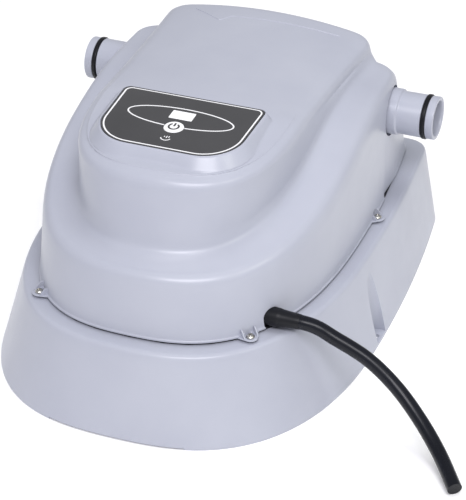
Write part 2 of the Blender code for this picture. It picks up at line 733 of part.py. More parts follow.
def make_saddle(name, x):
    """Cradle that carries the tank on the deck, and the strap over it."""
    half, foot, top = 0.0405, DECK_TOP + GAP, PORT_Z - 0.004
    saddle = block(name, (0.008, 2 * half, top - foot), (x, PORT_Y, (top + foot) / 2), "dark_plastic")
    cut(saddle, rod(name + "_seat", TANK_RADIUS + GAP, (x - 0.01, PORT_Y, PORT_Z),
                    (x + 0.01, PORT_Y, PORT_Z),
                    steps=28))
    return saddle


def make_strap(name, x):
    inner, outer, foot = TANK_RADIUS + GAP, TANK_RADIUS + 0.0021, 0.0403
    low = -0.0036
    outline = [(foot, low), (foot, low + 0.0018), (outer, low + 0.0018)]
    outline += [(outer * math.cos(turn), outer * math.sin(turn))
                for turn in [math.pi * index / 16 for index in range(1, 16)]]
    outline += [(-outer, low + 0.0018), (-foot, low + 0.0018), (-foot, low), (-inner, low)]
    outline += [(inner * math.cos(turn), inner * math.sin(turn))
                for turn in [math.pi * (1 - index / 16) for index in range(1, 16)]]
    outline += [(inner, low)]
    strap = plate(name, outline, 0.008, (x, PORT_Y, PORT_Z), "steel", (math.pi / 2, 0, math.pi / 2))
    return strap


def make_flow_switch():
    """Switch body with a forked stem in the tank, its paddle and the pin that the paddle swings on."""
    top, seat = 0.2060, 0.1923
    body = turned("flow_switch_body", ((0, top), (0.0105, top), (0.0120, top - 0.0015), (0.0120, seat),
                                       (0.0078, seat),
                                       (0.0078, HINGE_Z - 0.0035), (0, HINGE_Z - 0.0035)),
                  (SWITCH_X, PORT_Y, 0), (0, 0, 1), "dark_plastic", steps=16)
    cut(body, block("fork_slot", (0.03, 0.0080, 0.0100), (SWITCH_X, PORT_Y, HINGE_Z)),
        rod("pin_way", 0.0015, (SWITCH_X, PORT_Y - 0.02, HINGE_Z), (SWITCH_X, PORT_Y + 0.02, HINGE_Z),
            steps=12))
    rod("paddle_pin", 0.0012, (SWITCH_X, PORT_Y - 0.0066, HINGE_Z), (SWITCH_X, PORT_Y + 0.0066, HINGE_Z),
        "steel",
        steps=12)
    half = Vector((0, 0.0034, 0))
    hinge = Vector((SWITCH_X, PORT_Y, HINGE_Z))
    paddle = rod("flow_paddle", 0.0030, hinge - half, hinge + half, "dark_plastic", steps=16)
    reach = 0.0280
    blade = block("paddle_blade", (0.0014, 0.0120, reach - 0.0055),
                  hinge - Vector((0, 0, (reach + 0.0055) / 2)))
    neck = block("paddle_neck", (0.0014, 0.0064, 0.0070), hinge - Vector((0, 0, 0.0050)))
    join(paddle, neck, blade)
    cut(paddle, rod("paddle_bore", 0.0015, hinge - half * 2, hinge + half * 2, steps=12))
    return body


def make_probe():
    """Temperature probe screwed into its neck."""
    profile = ((0, 0.2010), (0.0022, 0.2010), (0.0022, 0.1970), (0.0060, 0.1970), (0.0060, 0.1903),
               (0.0027, 0.1903),
               (0.0027, 0.1640), (0.0018, 0.1630), (0, 0.1630))
    return turned("temperature_probe", profile, (PROBE_X, PORT_Y, 0), (0, 0, 1), "brass", steps=12)


def make_cutout():
    """Thermal cut-out against the tank, and its reset button."""
    seat, face, well = PORT_Y - TANK_RADIUS - 0.0005, 0.0760, 0.0820
    body = rod("thermal_cutout", 0.0090, (CUTOUT_X, seat, PORT_Z), (CUTOUT_X, face, PORT_Z), "dark_plastic",
               steps=20)
    cut(body, rod("reset_way", 0.0028, (CUTOUT_X, face - 0.006, PORT_Z), (CUTOUT_X, well, PORT_Z),
                  steps=12))
    return rod("reset_button", 0.0025, (CUTOUT_X, face - 0.0032, PORT_Z), (CUTOUT_X, well - 0.0020, PORT_Z),
               "red_plastic", steps=12)


def make_water_path():
    make_tank()
    for side, word, hand in ((-1, "inlet", "left"), (1, "outlet", "right")):
        make_port(word + "_port", side)
        make_ring(word + "_o_ring", side, 0.0173, O_RING_OUTER, O_RING_X - O_RING_WIDTH / 2,
                  O_RING_X + O_RING_WIDTH / 2,
                  "rubber", 0.0008)
        make_ring(word + "_seal", side, 0.0162, 0.0265, TANK_END + GAP, FLANGE_X - GAP, "rubber")
        make_nut(word + "_nut", side)
        make_saddle("tank_saddle_" + hand, side * SADDLE_X)
        make_strap("tank_strap_" + hand, side * SADDLE_X)
    make_element()
    make_flow_switch()
    make_probe()
    make_cutout()


# ---------------------------------------------------------------- panel and electronics

def board_post_spots():
    return [(x, y) for x in (-0.038, 0.038) for y in (-0.018, 0.028)]


def board_corners():
    x, y = BOARD_SIZE[0] / 2 - 0.006, BOARD_SIZE[1] / 2 - 0.006
    return [(BOARD_CENTRE.x + side * x, BOARD_CENTRE.y + end * y) for side in (1, -1) for end in (1, -1)]


def clamp_spots():
    across = Vector((-math.sin(CORD_HEADING), math.cos(CORD_HEADING), 0.0)) * 0.0105
    ahead = Vector((math.cos(CORD_HEADING), math.sin(CORD_HEADING), 0.0))
    middle = CORD_EXIT - ahead * 0.024
    return [(spot.x, spot.y) for spot in (middle + across, middle - across)]


def make_panel():
    """Flat overlay with openings for the display, the button and the indicator."""
    panel = meshed(plate("control_panel", panel_outline(-GAP), 0.0010, (0, 0, -0.0003), "panel"))
    along(panel, PANEL_FRAME)
    cutters = [block("lens_way", (DISPLAY_SIZE[0] + 2 * GAP, DISPLAY_SIZE[1] + 2 * GAP, 0.01),
                     (0, DISPLAY_Y, 0)),
               rod("cap_way", BUTTON_RADIUS + 0.0003, (0, BUTTON_Y, -0.01), (0, BUTTON_Y, 0.01), steps=28),
               rod("lamp_way", INDICATOR_RADIUS + 0.0003, (0, INDICATOR_Y, -0.01), (0, INDICATOR_Y, 0.01),
                   steps=12)]
    cut(panel, *[along(item, PANEL_FRAME) for item in cutters])
    lens = block("display_lens", (DISPLAY_SIZE[0], DISPLAY_SIZE[1], 0.0010), (0, DISPLAY_Y, -0.0003),
                 "window", 0.0002)
    along(lens, PANEL_FRAME)
    return panel


def make_power_button():
    """Round key with a flange below the pad and a stem that pushes the switch plunger."""
    key, under = BUTTON_RADIUS, -0.0034
    profile = ((0, 0.0008), (key - 0.0009, 0.0006), (key, 0.0), (key, under), (key + 0.0014, under),
               (key + 0.0014, under - 0.0010), (0.0022, under - 0.0010), (0.0022, -0.0085), (0, -0.0085))
    button = turned("power_button", profile, (0, BUTTON_Y, 0), (0, 0, 1), "white", steps=24)
    return along(button, PANEL_FRAME)


def make_display_board():
    """Small board under the panel with the display, the indicator and the switch of the power button."""
    top = -BOARD_DEPTH
    board = block("display_board", (0.0880, 0.0580, 0.0016), (0, 0.005, top - 0.0008), "board")
    module = block("display_module", (0.0215, 0.0135, 0.0130), (0, DISPLAY_Y, top + GAP + 0.0065),
                   "dark_plastic",
                   0.0004)
    lamp = rod("indicator_led", INDICATOR_RADIUS, (0, INDICATOR_Y, top + GAP), (0, INDICATOR_Y, 0.0001),
               "window",
               steps=12)
    switch = block("tact_switch", (0.0062, 0.0062, 0.0040), (0, BUTTON_Y, top + GAP + 0.0020),
                   "dark_plastic", 0.0003)
    bore = rod("plunger_way", 0.0020, (0, BUTTON_Y, top + 0.0014), (0, BUTTON_Y, 0), steps=12)
    plunger = rod("tact_plunger", 0.0017, (0, BUTTON_Y, top + 0.0026), (0, BUTTON_Y, -0.0088), "white",
                  steps=12)
    for item in (board, module, lamp, switch, bore, plunger):
        along(item, PANEL_FRAME)
    cut(switch, bore)


def make_power_board():
    """Power board on its stands, with relays, transformer and capacitor."""
    top = BOARD_CENTRE.z + BOARD_SIZE[2]
    board = block("power_board", BOARD_SIZE, BOARD_CENTRE + Vector((0, 0, BOARD_SIZE[2] / 2)), "board")
    for index, (x, y) in enumerate(board_corners()):
        cut(board, rod(f"board_screw_way_{index}", 0.0016, (x, y, 0.07), (x, y, 0.10), steps=10))
        pan_screw(f"board_screw_{index + 1}", 0.0028, 0.0013, 0.0072, (x, y, top + GAP))
    for name, size, x, y in (("relay_left", (0.030, 0.016, 0.024), -0.045, -0.072),
                             ("relay_right", (0.030, 0.016, 0.024), -0.045, -0.048),
                             ("transformer", (0.034, 0.030, 0.028), 0.000, -0.052)):
        block(name, size, (x, y, top + GAP + size[2] / 2), "dark_plastic", 0.0012)
    turned("capacitor", ((0, 0.022), (0.0055, 0.022), (0.0065, 0.021), (0.0065, 0), (0, 0)),
           (0.030, -0.048, top + GAP),
           (0, 0, 1), "dark_plastic", steps=16)


def make_terminal_block():
    """Three-way terminal block with its screw wells."""
    size = Vector((0.0150, 0.0360, 0.0150))
    body = block("terminal_block", size, TERMINAL_SPOT + Vector((0, 0, size.z / 2)), "white", 0.0008)
    for index in range(3):
        well = TERMINAL_SPOT + Vector((0, 0.0110 * (index - 1), size.z))
        cut(body, rod(f"well_{index}", 0.0032, well - Vector((0, 0, 0.009)), well + Vector((0, 0, 0.01)),
                      steps=14))
    return body


def make_leads():
    """Leads from the terminal block to the element's two pins and to the earthed flange."""
    ends = {"live_lead": (Vector((ELEMENT_X, 0.0655, PORT_Z + ELEMENT_LEG)), 1, "red_plastic", 0.0),
            "neutral_lead": (Vector((ELEMENT_X, 0.0655, PORT_Z - ELEMENT_LEG)), 0, "blue_plastic", 0.007),
            "earth_lead": (Vector((ELEMENT_X + 0.0170, 0.0745, PORT_Z)), -1, "green_plastic", 0.014)}
    for name, (pin, slot, finish, spread) in ends.items():
        root = TERMINAL_SPOT + Vector((0.0, 0.0110 * slot, 0.0185))
        high = PORT_Z - 0.030 + spread
        way = [root, root + Vector((0, 0, 0.012)), Vector((root.x - 0.02, root.y + 0.02 + spread, high)),
               Vector((0.000, 0.040 + spread, high)), Vector((pin.x, 0.048 + spread * 0.4, pin.z)), pin]
        tube(name, way, 0.0013, finish, resolution=1)


# ---------------------------------------------------------------- cord

def flowing(points, steps):
    """Points of a smooth line through all but the first and last of the given ones (Catmull-Rom)."""
    line = []
    for index in range(1, len(points) - 2):
        before, start, end, after = points[index - 1:index + 3]
        for step in range(steps):
            part = step / steps
            line.append(0.5 * (2 * start + (end - before) * part
                               + (2 * before - 5 * start + 4 * end - after) * part ** 2
                               + (3 * start - before - 3 * end + after) * part ** 3))
    return line + [points[-2]]


def make_cord():
    """Mains cord from the clamp inside, out through the boot, over the deck and down to the ground."""
    ahead = Vector((math.cos(CORD_HEADING), math.sin(CORD_HEADING), 0.0))
    way = [CORD_EXIT, CORD_EXIT + ahead * (BOOT_LENGTH + 0.001)] + [Vector(point) for point in CORD_WAY]
    way.append(way[-1] * 2 - way[-2])
    points = [CORD_EXIT - ahead * 0.0340] + flowing(way, CORD_STEPS)
    return meshed(tube("power_cord", points, CORD_RADIUS, "rubber"))


def make_boot():
    """Strain relief in the notch: collar in the wall and a tapered sleeve outside."""
    ahead = Vector((math.cos(CORD_HEADING), math.sin(CORD_HEADING), 0.0))
    bore = CORD_RADIUS + 0.0004
    profile = ((bore, BOOT_LENGTH), (BOOT_TIP_RADIUS, BOOT_LENGTH), (0.0069, BOOT_LENGTH * 0.4),
               (0.0076, 0.0030),
               (0.0076, -0.0110), (bore, -0.0110))
    return turned("cord_boot", profile, CORD_EXIT, ahead, "rubber", closed=True, steps=20)


def make_clamp():
    """Bar over the cord on two posts, with its screws."""
    ahead = Vector((math.cos(CORD_HEADING), math.sin(CORD_HEADING), 0.0))
    middle = CORD_EXIT - ahead * 0.024
    bar = block("cord_clamp", (0.0080, 0.0290, 0.0085), middle + Vector((0, 0, 0.00425)), "dark_plastic",
                0.0008)
    bar.rotation_euler.z = CORD_HEADING
    cut(bar, rod("clamp_seat", CORD_RADIUS + GAP, middle - ahead * 0.02, middle + ahead * 0.02, steps=20))
    for index, (x, y) in enumerate(clamp_spots()):
        cut(bar, rod(f"clamp_way_{index}", 0.0017, (x, y, 0.07), (x, y, 0.11), steps=10))
        pan_screw(f"cord_clamp_screw_{index + 1}", 0.0028, 0.0014, 0.0160,
                  (x, y, CORD_EXIT.z + 0.0085 + GAP))


clear_scene()
PARTS = new_collection("inline_pool_heater")
CUTTERS = new_collection("cutters")
PANEL_FRAME = bpy.data.objects.new("panel_frame", None)
PARTS.objects.link(PANEL_FRAME)
PANEL_FRAME.location = (0.0, PANEL_Y, PANEL_Z)
PANEL_FRAME.rotation_euler.x = PANEL_TILT
bpy.context.view_layer.update()

make_base_shell()
make_gasket()
make_upper_housing()
make_housing_screws()
make_water_path()
make_panel()
make_power_button()
make_display_board()
make_power_board()
make_terminal_block()
make_leads()
make_boot()
make_clamp()
make_cord()
bpy.context.view_layer.update()
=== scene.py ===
"""Looks of the inline pool heater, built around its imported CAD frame.

Metres, +Z up. The control panel faces -Y and the hose ports stand out along X.
"""

import json
import math

import bmesh
import bpy
import numpy as np
from mathutils import Matrix, Vector
from mathutils.bvhtree import BVHTree
from mathutils.geometry import barycentric_transform


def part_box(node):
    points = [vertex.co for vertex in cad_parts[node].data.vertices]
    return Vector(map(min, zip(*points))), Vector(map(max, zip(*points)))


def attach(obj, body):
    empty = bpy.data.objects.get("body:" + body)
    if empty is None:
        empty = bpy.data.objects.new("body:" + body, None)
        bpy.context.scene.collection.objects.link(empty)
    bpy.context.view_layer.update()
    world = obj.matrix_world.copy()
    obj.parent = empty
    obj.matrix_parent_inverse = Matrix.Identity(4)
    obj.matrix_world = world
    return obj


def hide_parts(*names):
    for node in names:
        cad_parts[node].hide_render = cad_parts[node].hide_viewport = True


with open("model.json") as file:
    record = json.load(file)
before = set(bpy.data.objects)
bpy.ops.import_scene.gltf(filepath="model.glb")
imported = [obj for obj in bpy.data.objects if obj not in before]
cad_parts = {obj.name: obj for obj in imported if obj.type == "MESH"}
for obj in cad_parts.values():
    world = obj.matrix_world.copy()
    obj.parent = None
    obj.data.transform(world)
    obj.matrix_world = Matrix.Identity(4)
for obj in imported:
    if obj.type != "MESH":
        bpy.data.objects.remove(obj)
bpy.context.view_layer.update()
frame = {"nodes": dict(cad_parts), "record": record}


def middle(node):
    low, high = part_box(node)
    return (low + high) / 2


# ---------------------------------------------------------------- sizes

GAP = 0.0003
WALL = 0.0030               # the CAD's housing wall is thinner, which shows only from inside
DECK_TOP = 0.0760
SEAM_Z = 0.0780
SHOULDER_FRONT, SHOULDER_RUN = -0.1650, 0.2550
SHOULDER_LOW, SHOULDER_RISE = 0.1340, 0.0530
CROWN_TOP, CROWN_DIP = 0.2175, 0.1500
CROWN_BOW, CROWN_HALF = 0.0085, 0.085       # drop towards the sides, and the half width it is reached at
CROWN_FLAT, CROWN_BEND = 0.022, 0.020       # where the front slope starts, and how softly

PORT_Y, PORT_Z = middle("outlet_port").y, middle("outlet_port").z
PORT_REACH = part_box("outlet_port")[1].x
PIPE_RADIUS = 0.0190
BORE_RADIUS = 0.0154
COLLAR_RADIUS = 0.0203
FLANGE_RADIUS = 0.0270
PORT_HOLE_RADIUS = 0.0225
PORT_FLAT_RADIUS = 0.0262
PORT_FLAT_X = 0.1228
PORT_FLAT_THICKNESS = 0.012
FLANGE_BACK, FLANGE_FRONT, COLLAR_END, PIPE_START = 0.0900, 0.0940, 0.1300, 0.1310
O_RING_X = middle("outlet_o_ring").x
O_RING_HALF, O_RING_INSIDE = 0.0019, 0.0173
GROOVE_HALF, GROOVE_RADIUS = 0.0022, 0.0170

PANEL_Y, PANEL_Z, PANEL_TILT = -0.0720, 0.2154, math.radians(3.0)
PANEL_BACK, PANEL_FRONT, PANEL_HALF = 0.0420, -0.0405, 0.0620
PANEL_CORNER_X, PANEL_CORNER_Y, PANEL_TAPER = 0.033, 0.034, 0.001
PANEL_RECESS = 0.0013
PRINT_HEIGHTS = (0.00015, 0.00026)          # underside and top of the printed marks on the panel
CAP_PRINT_HEIGHTS = (0.00070, 0.00086)      # the same on the button's cap
DISPLAY_Y, DISPLAY_SIZE = 0.0120, (0.0200, 0.0120)
BUTTON_Y, BUTTON_RADIUS = -0.0065, 0.0084
LAMP_Y, LAMP_RADIUS = -0.0230, 0.0018

SCREWS = [middle(f"housing_screw_{number}") for number in range(1, 7)]
SCREW_SEAT = 0.0792
EAR_RADIUS, EAR_REACH, EAR_ROOT, EAR_FLARE = 0.0062, 0.0100, 0.010, 1.28
POCKET_RADIUS, POCKET_HEIGHT, COLUMN_WALL = 0.0052, 0.0072, 0.0026
THREAD_RADIUS = 0.0023
HEAD_HEIGHT, HEAD_RADIUS, SHANK_RADIUS = 0.0024, 0.0036, 0.0019
CROSS_ARM, CROSS_HALF = 0.0019, 0.00045
ANCHOR_X, ANCHOR_Y, ANCHOR_RADIUS, ANCHOR_FLOOR = 0.1545, -0.0030, 0.0110, 0.0030
ANCHOR_WALL, ANCHOR_HOLE_RADIUS = 0.0026, 0.0026

RIB_HALF, LONG_RIB_DEPTH, CROSS_RIB_DEPTH = 0.00125, 0.018, 0.016
LONG_RIBS_X, CROSS_RIBS_Y = (-0.075, 0.0, 0.075), (-0.110, -0.020, 0.070, 0.150)
POST_RADIUS, POST_FOOT = 0.0062, 0.046
BOARD_STAND_RADIUS, BOARD_STAND_INSET = 0.0036, 0.006
CLAMP_STAND_RADIUS, CLAMP_STAND_OFFSET = 0.0040, 0.0105

CORD_RADIUS = 0.0060
CORD_EXIT = Vector((0.1060, -0.1240, 0.0860))
CORD_INSIDE = 0.0340
BOOT_LENGTH = 0.0200
NOTCH_RADIUS = 0.0082
CORD_WAY = ((0.1400, -0.1228, 0.0832), (0.1530, -0.1222, 0.0770), (0.1820, -0.1230, 0.0640),
            (0.2080, -0.1280, 0.0470), (0.2320, -0.1400, 0.0300), (0.2550, -0.1590, 0.0150),
            (0.2766, -0.1876, 0.0064))

# Each line of a shell: half width, front, widest y, back, half width at the back, corner radius,
# how far the back bows, exponent of the front curve, and a height: a number for a flat line, three
# rises over the shoulder (at the front, at y = 0 and at the back), or one drop below the crown.
HOUSING_LEVELS = (
    (0.1280, -0.1800, 0.025, 0.2030, 0.1165, 0.016, 0.0, 2.65, SEAM_Z),
    (0.1266, -0.1742, 0.015, 0.1630, 0.1215, 0.018, 0.012, 2.45, (-0.0095, -0.0150, -0.0120)),
    (0.1253, -0.1732, 0.010, 0.1615, 0.1211, 0.018, 0.014, 2.40, (-0.0047, -0.0072, -0.0070)),
    (0.1231, -0.1714, 0.005, 0.1600, 0.1202, 0.018, 0.016, 2.36, (-0.0021, -0.0034, -0.0035)),
    (0.1199, -0.1688, 0.000, 0.1590, 0.1188, 0.018, 0.017, 2.32, (-0.0003, -0.0009, -0.0010)),
    (0.1158, -0.1658, 0.000, 0.1583, 0.1165, 0.018, 0.017, 2.30, (0.0005, 0.0003, 0.0003)),
    (0.1060, -0.1605, 0.000, 0.1576, 0.1090, 0.018, 0.015, 2.30, (0.0030, 0.0020, 0.0012)),
    (0.0980, -0.1555, 0.000, 0.1572, 0.1025, 0.016, 0.009, 2.30, (0.0070, 0.0042, 0.0022)),
    (0.0942, -0.1515, 0.000, 0.1560, 0.0990, 0.015, 0.005, 2.35, (0.0105, 0.0070, 0.0042)),
    (0.0923, -0.1485, 0.000, 0.1550, 0.0965, 0.014, 0.003, 2.40, (0.0180, 0.0120, 0.0070)),
    (0.0902, -0.1400, -0.010, 0.1532, 0.0955, 0.014, 0.001, 2.60, (0.0100,)),
    (0.0892, -0.1382, -0.015, 0.1518, 0.0945, 0.014, 0.0, 2.65, (0.0060,)),
    (0.0868, -0.1352, -0.020, 0.1498, 0.0922, 0.013, 0.0, 2.65, (0.0026,)),
    (0.0820, -0.1295, -0.020, 0.1460, 0.0875, 0.012, 0.0, 2.65, (0.0007,)))
BASE_LEVELS = (
    (0.1590, -0.2160, 0.005, 0.2160, 0.1450, 0.014, 0.0, 2.65, 0.0),
    (0.1428, -0.1972, 0.030, 0.2165, 0.1333, 0.018, 0.0, 2.65, 0.0705),
    (0.1412, -0.1950, 0.030, 0.2155, 0.1320, 0.018, 0.0, 2.65, 0.0748),
    (0.1385, -0.1920, 0.030, 0.2135, 0.1295, 0.018, 0.0, 2.65, DECK_TOP))
RING_PARTS = (84, 40, 14, 30)   # points along the front, side, corner and back of half a ring
RING_SMOOTHINGS = 6
# The lip round the housing's foot: height above the seam, and how far it stands proud.
LIP = ((0.0, 0.0002), (0.0003, 0.0007), (0.0014, 0.0007), (0.0018, 0.0001))
NOISE_MIDDLE = (0.3, 0.7)       # the part of a noise value's range that shows as full contrast
NEAR_SHELL, ON_SHELL, SLIVER_AREA = 0.0004, 0.00005, 1e-7


# ---------------------------------------------------------------- materials

def tint(red, green, blue):
    """Linear colour from the 0 to 255 values of a screen colour."""
    def linear(value):
        value /= 255
        return value / 12.92 if value <= 0.04045 else ((value + 0.055) / 1.055) ** 2.4
    return (linear(red), linear(green), linear(blue), 1.0)


class Finish:
    """Builds one node material around a Principled shader."""

    def __init__(self, name, metallic=0.0, **sockets):
        self.made = bpy.data.materials.new(name)
        self.made.use_nodes = True
        self.nodes, self.links = self.made.node_tree.nodes, self.made.node_tree.links
        self.shader = self.nodes["Principled BSDF"]
        self.shader.inputs["Metallic"].default_value = metallic
        for socket, value in sockets.items():
            self.shader.inputs[socket.replace("_", " ")].default_value = value
        self.place = self.nodes.new("ShaderNodeTexCoord")
        self.bumped = None

    def noise(self, scale, detail=3.0, roughness=0.55, stretch=None, kind="noise"):
        """Noise over the object's own coordinates. Gives the value socket."""
        source = self.place.outputs["Object"]
        if stretch:
            mapping = self.nodes.new("ShaderNodeMapping")
            mapping.inputs["Scale"].default_value = stretch
            self.links.new(source, mapping.inputs["Vector"])
            source = mapping.outputs["Vector"]
        if kind == "cells":
            node = self.nodes.new("ShaderNodeTexVoronoi")
            node.feature = "SMOOTH_F1"
        else:
            node = self.nodes.new("ShaderNodeTexNoise")
            node.inputs["Detail"].default_value = detail
            node.inputs["Roughness"].default_value = roughness
        node.inputs["Scale"].default_value = scale
        self.links.new(source, node.inputs["Vector"])
        return node.outputs[0]

    def between(self, value, low, high):
        """The middle of a noise value's range spread from low to high."""
        node = self.nodes.new("ShaderNodeMapRange")
        node.inputs["From Min"].default_value, node.inputs["From Max"].default_value = NOISE_MIDDLE
        node.inputs["To Min"].default_value, node.inputs["To Max"].default_value = low, high
        self.links.new(value, node.inputs["Value"])
        return node.outputs["Result"]

    def colour(self, value, stops):
        """Base colour from a ramp of (position, colour) stops."""
        ramp = self.nodes.new("ShaderNodeValToRGB")
        elements = ramp.color_ramp.elements
        while len(elements) < len(stops):
            elements.new(0.5)
        for element, (position, shade) in zip(elements, stops):
            element.position, element.color = position, shade
        self.links.new(value, ramp.inputs["Fac"])
        self.links.new(ramp.outputs["Color"], self.shader.inputs["Base Color"])
        return self

    def gloss(self, value, low, high):
        self.links.new(self.between(value, low, high), self.shader.inputs["Roughness"])
        return self

    def bump(self, value, depth, strength=1.0):
        node = self.nodes.new("ShaderNodeBump")
        node.inputs["Distance"].default_value = depth
        node.inputs["Strength"].default_value = strength
        self.links.new(value, node.inputs["Height"])
        if self.bumped:
            self.links.new(self.bumped, node.inputs["Normal"])
        self.bumped = node.outputs["Normal"]
        self.links.new(self.bumped, self.shader.inputs["Normal"])
        return self


def moulded(name, dark, light, rough=(0.40, 0.50), grain=0.00006, scale=1500.0, **sockets):
    """Moulded plastic: slow colour drift, fine spark-eroded grain and slightly uneven gloss."""
    finish = Finish(name, **sockets)
    finish.colour(finish.noise(scale=14.0, detail=4.0), [(0.30, dark), (0.70, light)])
    finish.gloss(finish.noise(scale=60.0, detail=3.0), *rough)
    finish.bump(finish.noise(scale, detail=2.0, roughness=0.6), depth=grain, strength=0.20)
    finish.bump(finish.noise(scale=22.0, detail=1.0), depth=0.0006, strength=0.10)
    return finish.made


def metal(name, dark, light):
    """Bright metal with fine drawn streaks."""
    finish = Finish(name, metallic=1.0)
    streaks = finish.noise(scale=220.0, detail=4.0, roughness=0.6, stretch=(1, 1, 40))
    finish.colour(streaks, [(0.25, dark), (0.75, light)])
    finish.gloss(finish.noise(scale=400.0), low=0.18, high=0.34)
    finish.bump(streaks, depth=0.00002, strength=0.3)
    return finish.made


def circuit_board():
    """Green solder resist with a faint pattern of cells."""
    finish = Finish("board_resist", Coat_Weight=0.3, Coat_Roughness=0.2)
    finish.colour(finish.noise(scale=320.0, kind="cells"), [(0.20, tint(14, 92, 46)), (0.42, tint(9, 62, 30))])
    finish.gloss(finish.noise(scale=90.0), low=0.35, high=0.5)
    finish.bump(finish.noise(scale=260.0, kind="cells"), depth=0.00004, strength=0.5)
    return finish.made


FINISHES = {
    "case": moulded("case_plastic", tint(168, 171, 184), tint(174, 177, 189), (0.28, 0.34),
                    grain=0.00002, scale=1300.0, Specular_IOR_Level=0.5),
    "dark_plastic": moulded("black_plastic", tint(30, 31, 33), tint(40, 41, 44), (0.40, 0.55)),
    "rubber": moulded("black_rubber", tint(14, 15, 19), tint(22, 23, 28), (0.36, 0.48),
                      grain=0.00004, scale=900.0, Specular_IOR_Level=0.25),
    "cord": moulded("cord_sheath", tint(14, 16, 22), tint(22, 24, 32), (0.24, 0.32),
                    grain=0.00003, scale=700.0, Specular_IOR_Level=0.25),
    "panel": moulded("panel_film", tint(62, 62, 64), tint(67, 67, 69), (0.40, 0.48),
                     grain=0.00002, scale=2600.0),
    "white": moulded("white_ink", tint(236, 236, 238), tint(244, 244, 246), (0.30, 0.40),
                     grain=0.00002, scale=2000.0),
    "window": moulded("display_window", tint(243, 244, 246), tint(250, 250, 252), (0.10, 0.16),
                      grain=0.00001, scale=900.0, Coat_Weight=0.5, Coat_Roughness=0.05),
    "steel": metal("bright_steel", tint(190, 188, 182), tint(228, 226, 220)),
    "brass": metal("turned_brass", tint(176, 140, 74), tint(214, 182, 112)),
    "board": circuit_board(),
    "tank": moulded("filled_nylon", tint(104, 108, 114), tint(118, 122, 129), (0.5, 0.65),
                    grain=0.00012, scale=800.0),
    "red_plastic": moulded("red_plastic", tint(182, 40, 30), tint(204, 52, 40), (0.32, 0.45)),
    "blue_plastic": moulded("blue_plastic", tint(46, 70, 158), tint(60, 88, 180), (0.32, 0.45)),
    "green_plastic": moulded("green_plastic", tint(72, 142, 60), tint(190, 186, 60), (0.32, 0.45)),
}


# ---------------------------------------------------------------- mesh helpers

def piece(name, verts, faces, finish, body="case", degrees=30.0):
    """A shown piece from points and faces, with smooth shading up to an angle."""
    mesh = bpy.data.meshes.new(name)
    mesh.from_pydata([tuple(vert) for vert in verts], [], [tuple(face) for face in faces])
    shape = bmesh.new()
    shape.from_mesh(mesh)
    bmesh.ops.recalc_face_normals(shape, faces=shape.faces)
    shape.to_mesh(mesh)
    shape.free()
    item = bpy.data.objects.new(name, mesh)
    bpy.context.scene.collection.objects.link(item)
    if finish:
        mesh.materials.append(FINISHES[finish])
        shade(item, degrees)
        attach(item, body)
    return item


def shade(item, degrees):
    item.data.shade_smooth()
    item.data.set_sharp_from_angle(angle=math.radians(degrees))


def skin(name, rows, finish=None, body="case", closed=False, degrees=30.0):
    """Skins rings of equal count. A closed skin joins its last ring to its first, and others get end caps."""
    rows = [np.asarray(row, float) for row in rows]
    count = len(rows[0])
    faces = []
    pairs = list(zip(range(len(rows)), range(1, len(rows)))) + ([(len(rows) - 1, 0)] if closed else [])
    for low, high in pairs:
        for index in range(count):
            after = (index + 1) % count
            faces.append((low * count + index, low * count + after,
                          high * count + after, high * count + index))
    if not closed:
        faces.append(tuple(range(count - 1, -1, -1)))
        faces.append(tuple(range((len(rows) - 1) * count, len(rows) * count)))
    return piece(name, np.concatenate(rows), faces, finish, body, degrees)


def soften(points, radius, closed=False, steps=4):
    """Rounds the corners of a line of (a, b) points."""
    points = [Vector(point) for point in points]
    count = len(points)
    line = []
    for index, point in enumerate(points):
        if not closed and index in (0, count - 1):
            line.append(point)
            continue
        back, ahead = points[index - 1] - point, points[(index + 1) % count] - point
        reach = min(radius, 0.45 * back.length, 0.45 * ahead.length)
        start, end = point + back.normalized() * reach, point + ahead.normalized() * reach
        for step in range(steps + 1):
            part = step / steps
            line.append(start * (1 - part) ** 2 + point * 2 * part * (1 - part) + end * part ** 2)
    return line


def turned(name, profile, origin, axis, finish=None, body="case", closed=False, steps=72, degrees=30.0):
    """Turns (radius, height) points about an axis through origin."""
    turn = np.linspace(0, 2 * math.pi, steps, endpoint=False)
    basis = np.array(Vector(axis).to_track_quat("Z", "Y").to_matrix())
    rows = []
    for radius, height in profile:
        ring = np.stack([radius * np.cos(turn), radius * np.sin(turn), np.full(steps, height)], 1)
        rows.append(ring @ basis.T + np.array(origin))
    return skin(name, rows, finish, body, closed, degrees=degrees)


def swept(name, way, radii, finish=None, steps=28):
    """A round bar along a line of points, with closed ends."""
    way = [Vector(point) for point in way]
    side = Vector((0, 0, 1))
    rows = []
    for index, point in enumerate(way):
        ahead = (way[min(index + 1, len(way) - 1)] - way[max(index - 1, 0)]).normalized()
        side = (side - ahead * side.dot(ahead)).normalized()
        other = ahead.cross(side)
        radius = radii[index] if hasattr(radii, "__len__") else radii
        rows.append([point + (side * math.cos(turn) + other * math.sin(turn)) * radius
                     for turn in np.linspace(0, 2 * math.pi, steps, endpoint=False)])
    return skin(name, rows, finish)


def prism(name, outline, low, high, place=None, finish=None, body="case", edge=0.0):
    """A closed plate from an outline of (x, y), between two heights, moved by place."""
    outline = np.asarray(outline, float)
    heart = outline.mean(0)

    def row(height, inset):
        away = outline - heart
        shrink = 1 - inset / np.maximum(np.linalg.norm(away, axis=1, keepdims=True), 1e-9)
        flat = heart + away * shrink
        points = np.column_stack([flat, np.full(len(flat), height)])
        return points @ np.array(place.to_3x3()).T + np.array(place.translation) if place else points

    rows = [row(low, 0), row(high, 0)]
    if edge:
        bevel = edge * 0.3
        rows = [row(low, 0), row(high - edge, 0), row(high - bevel, bevel), row(high, edge)]
    return skin(name, rows, finish, body)


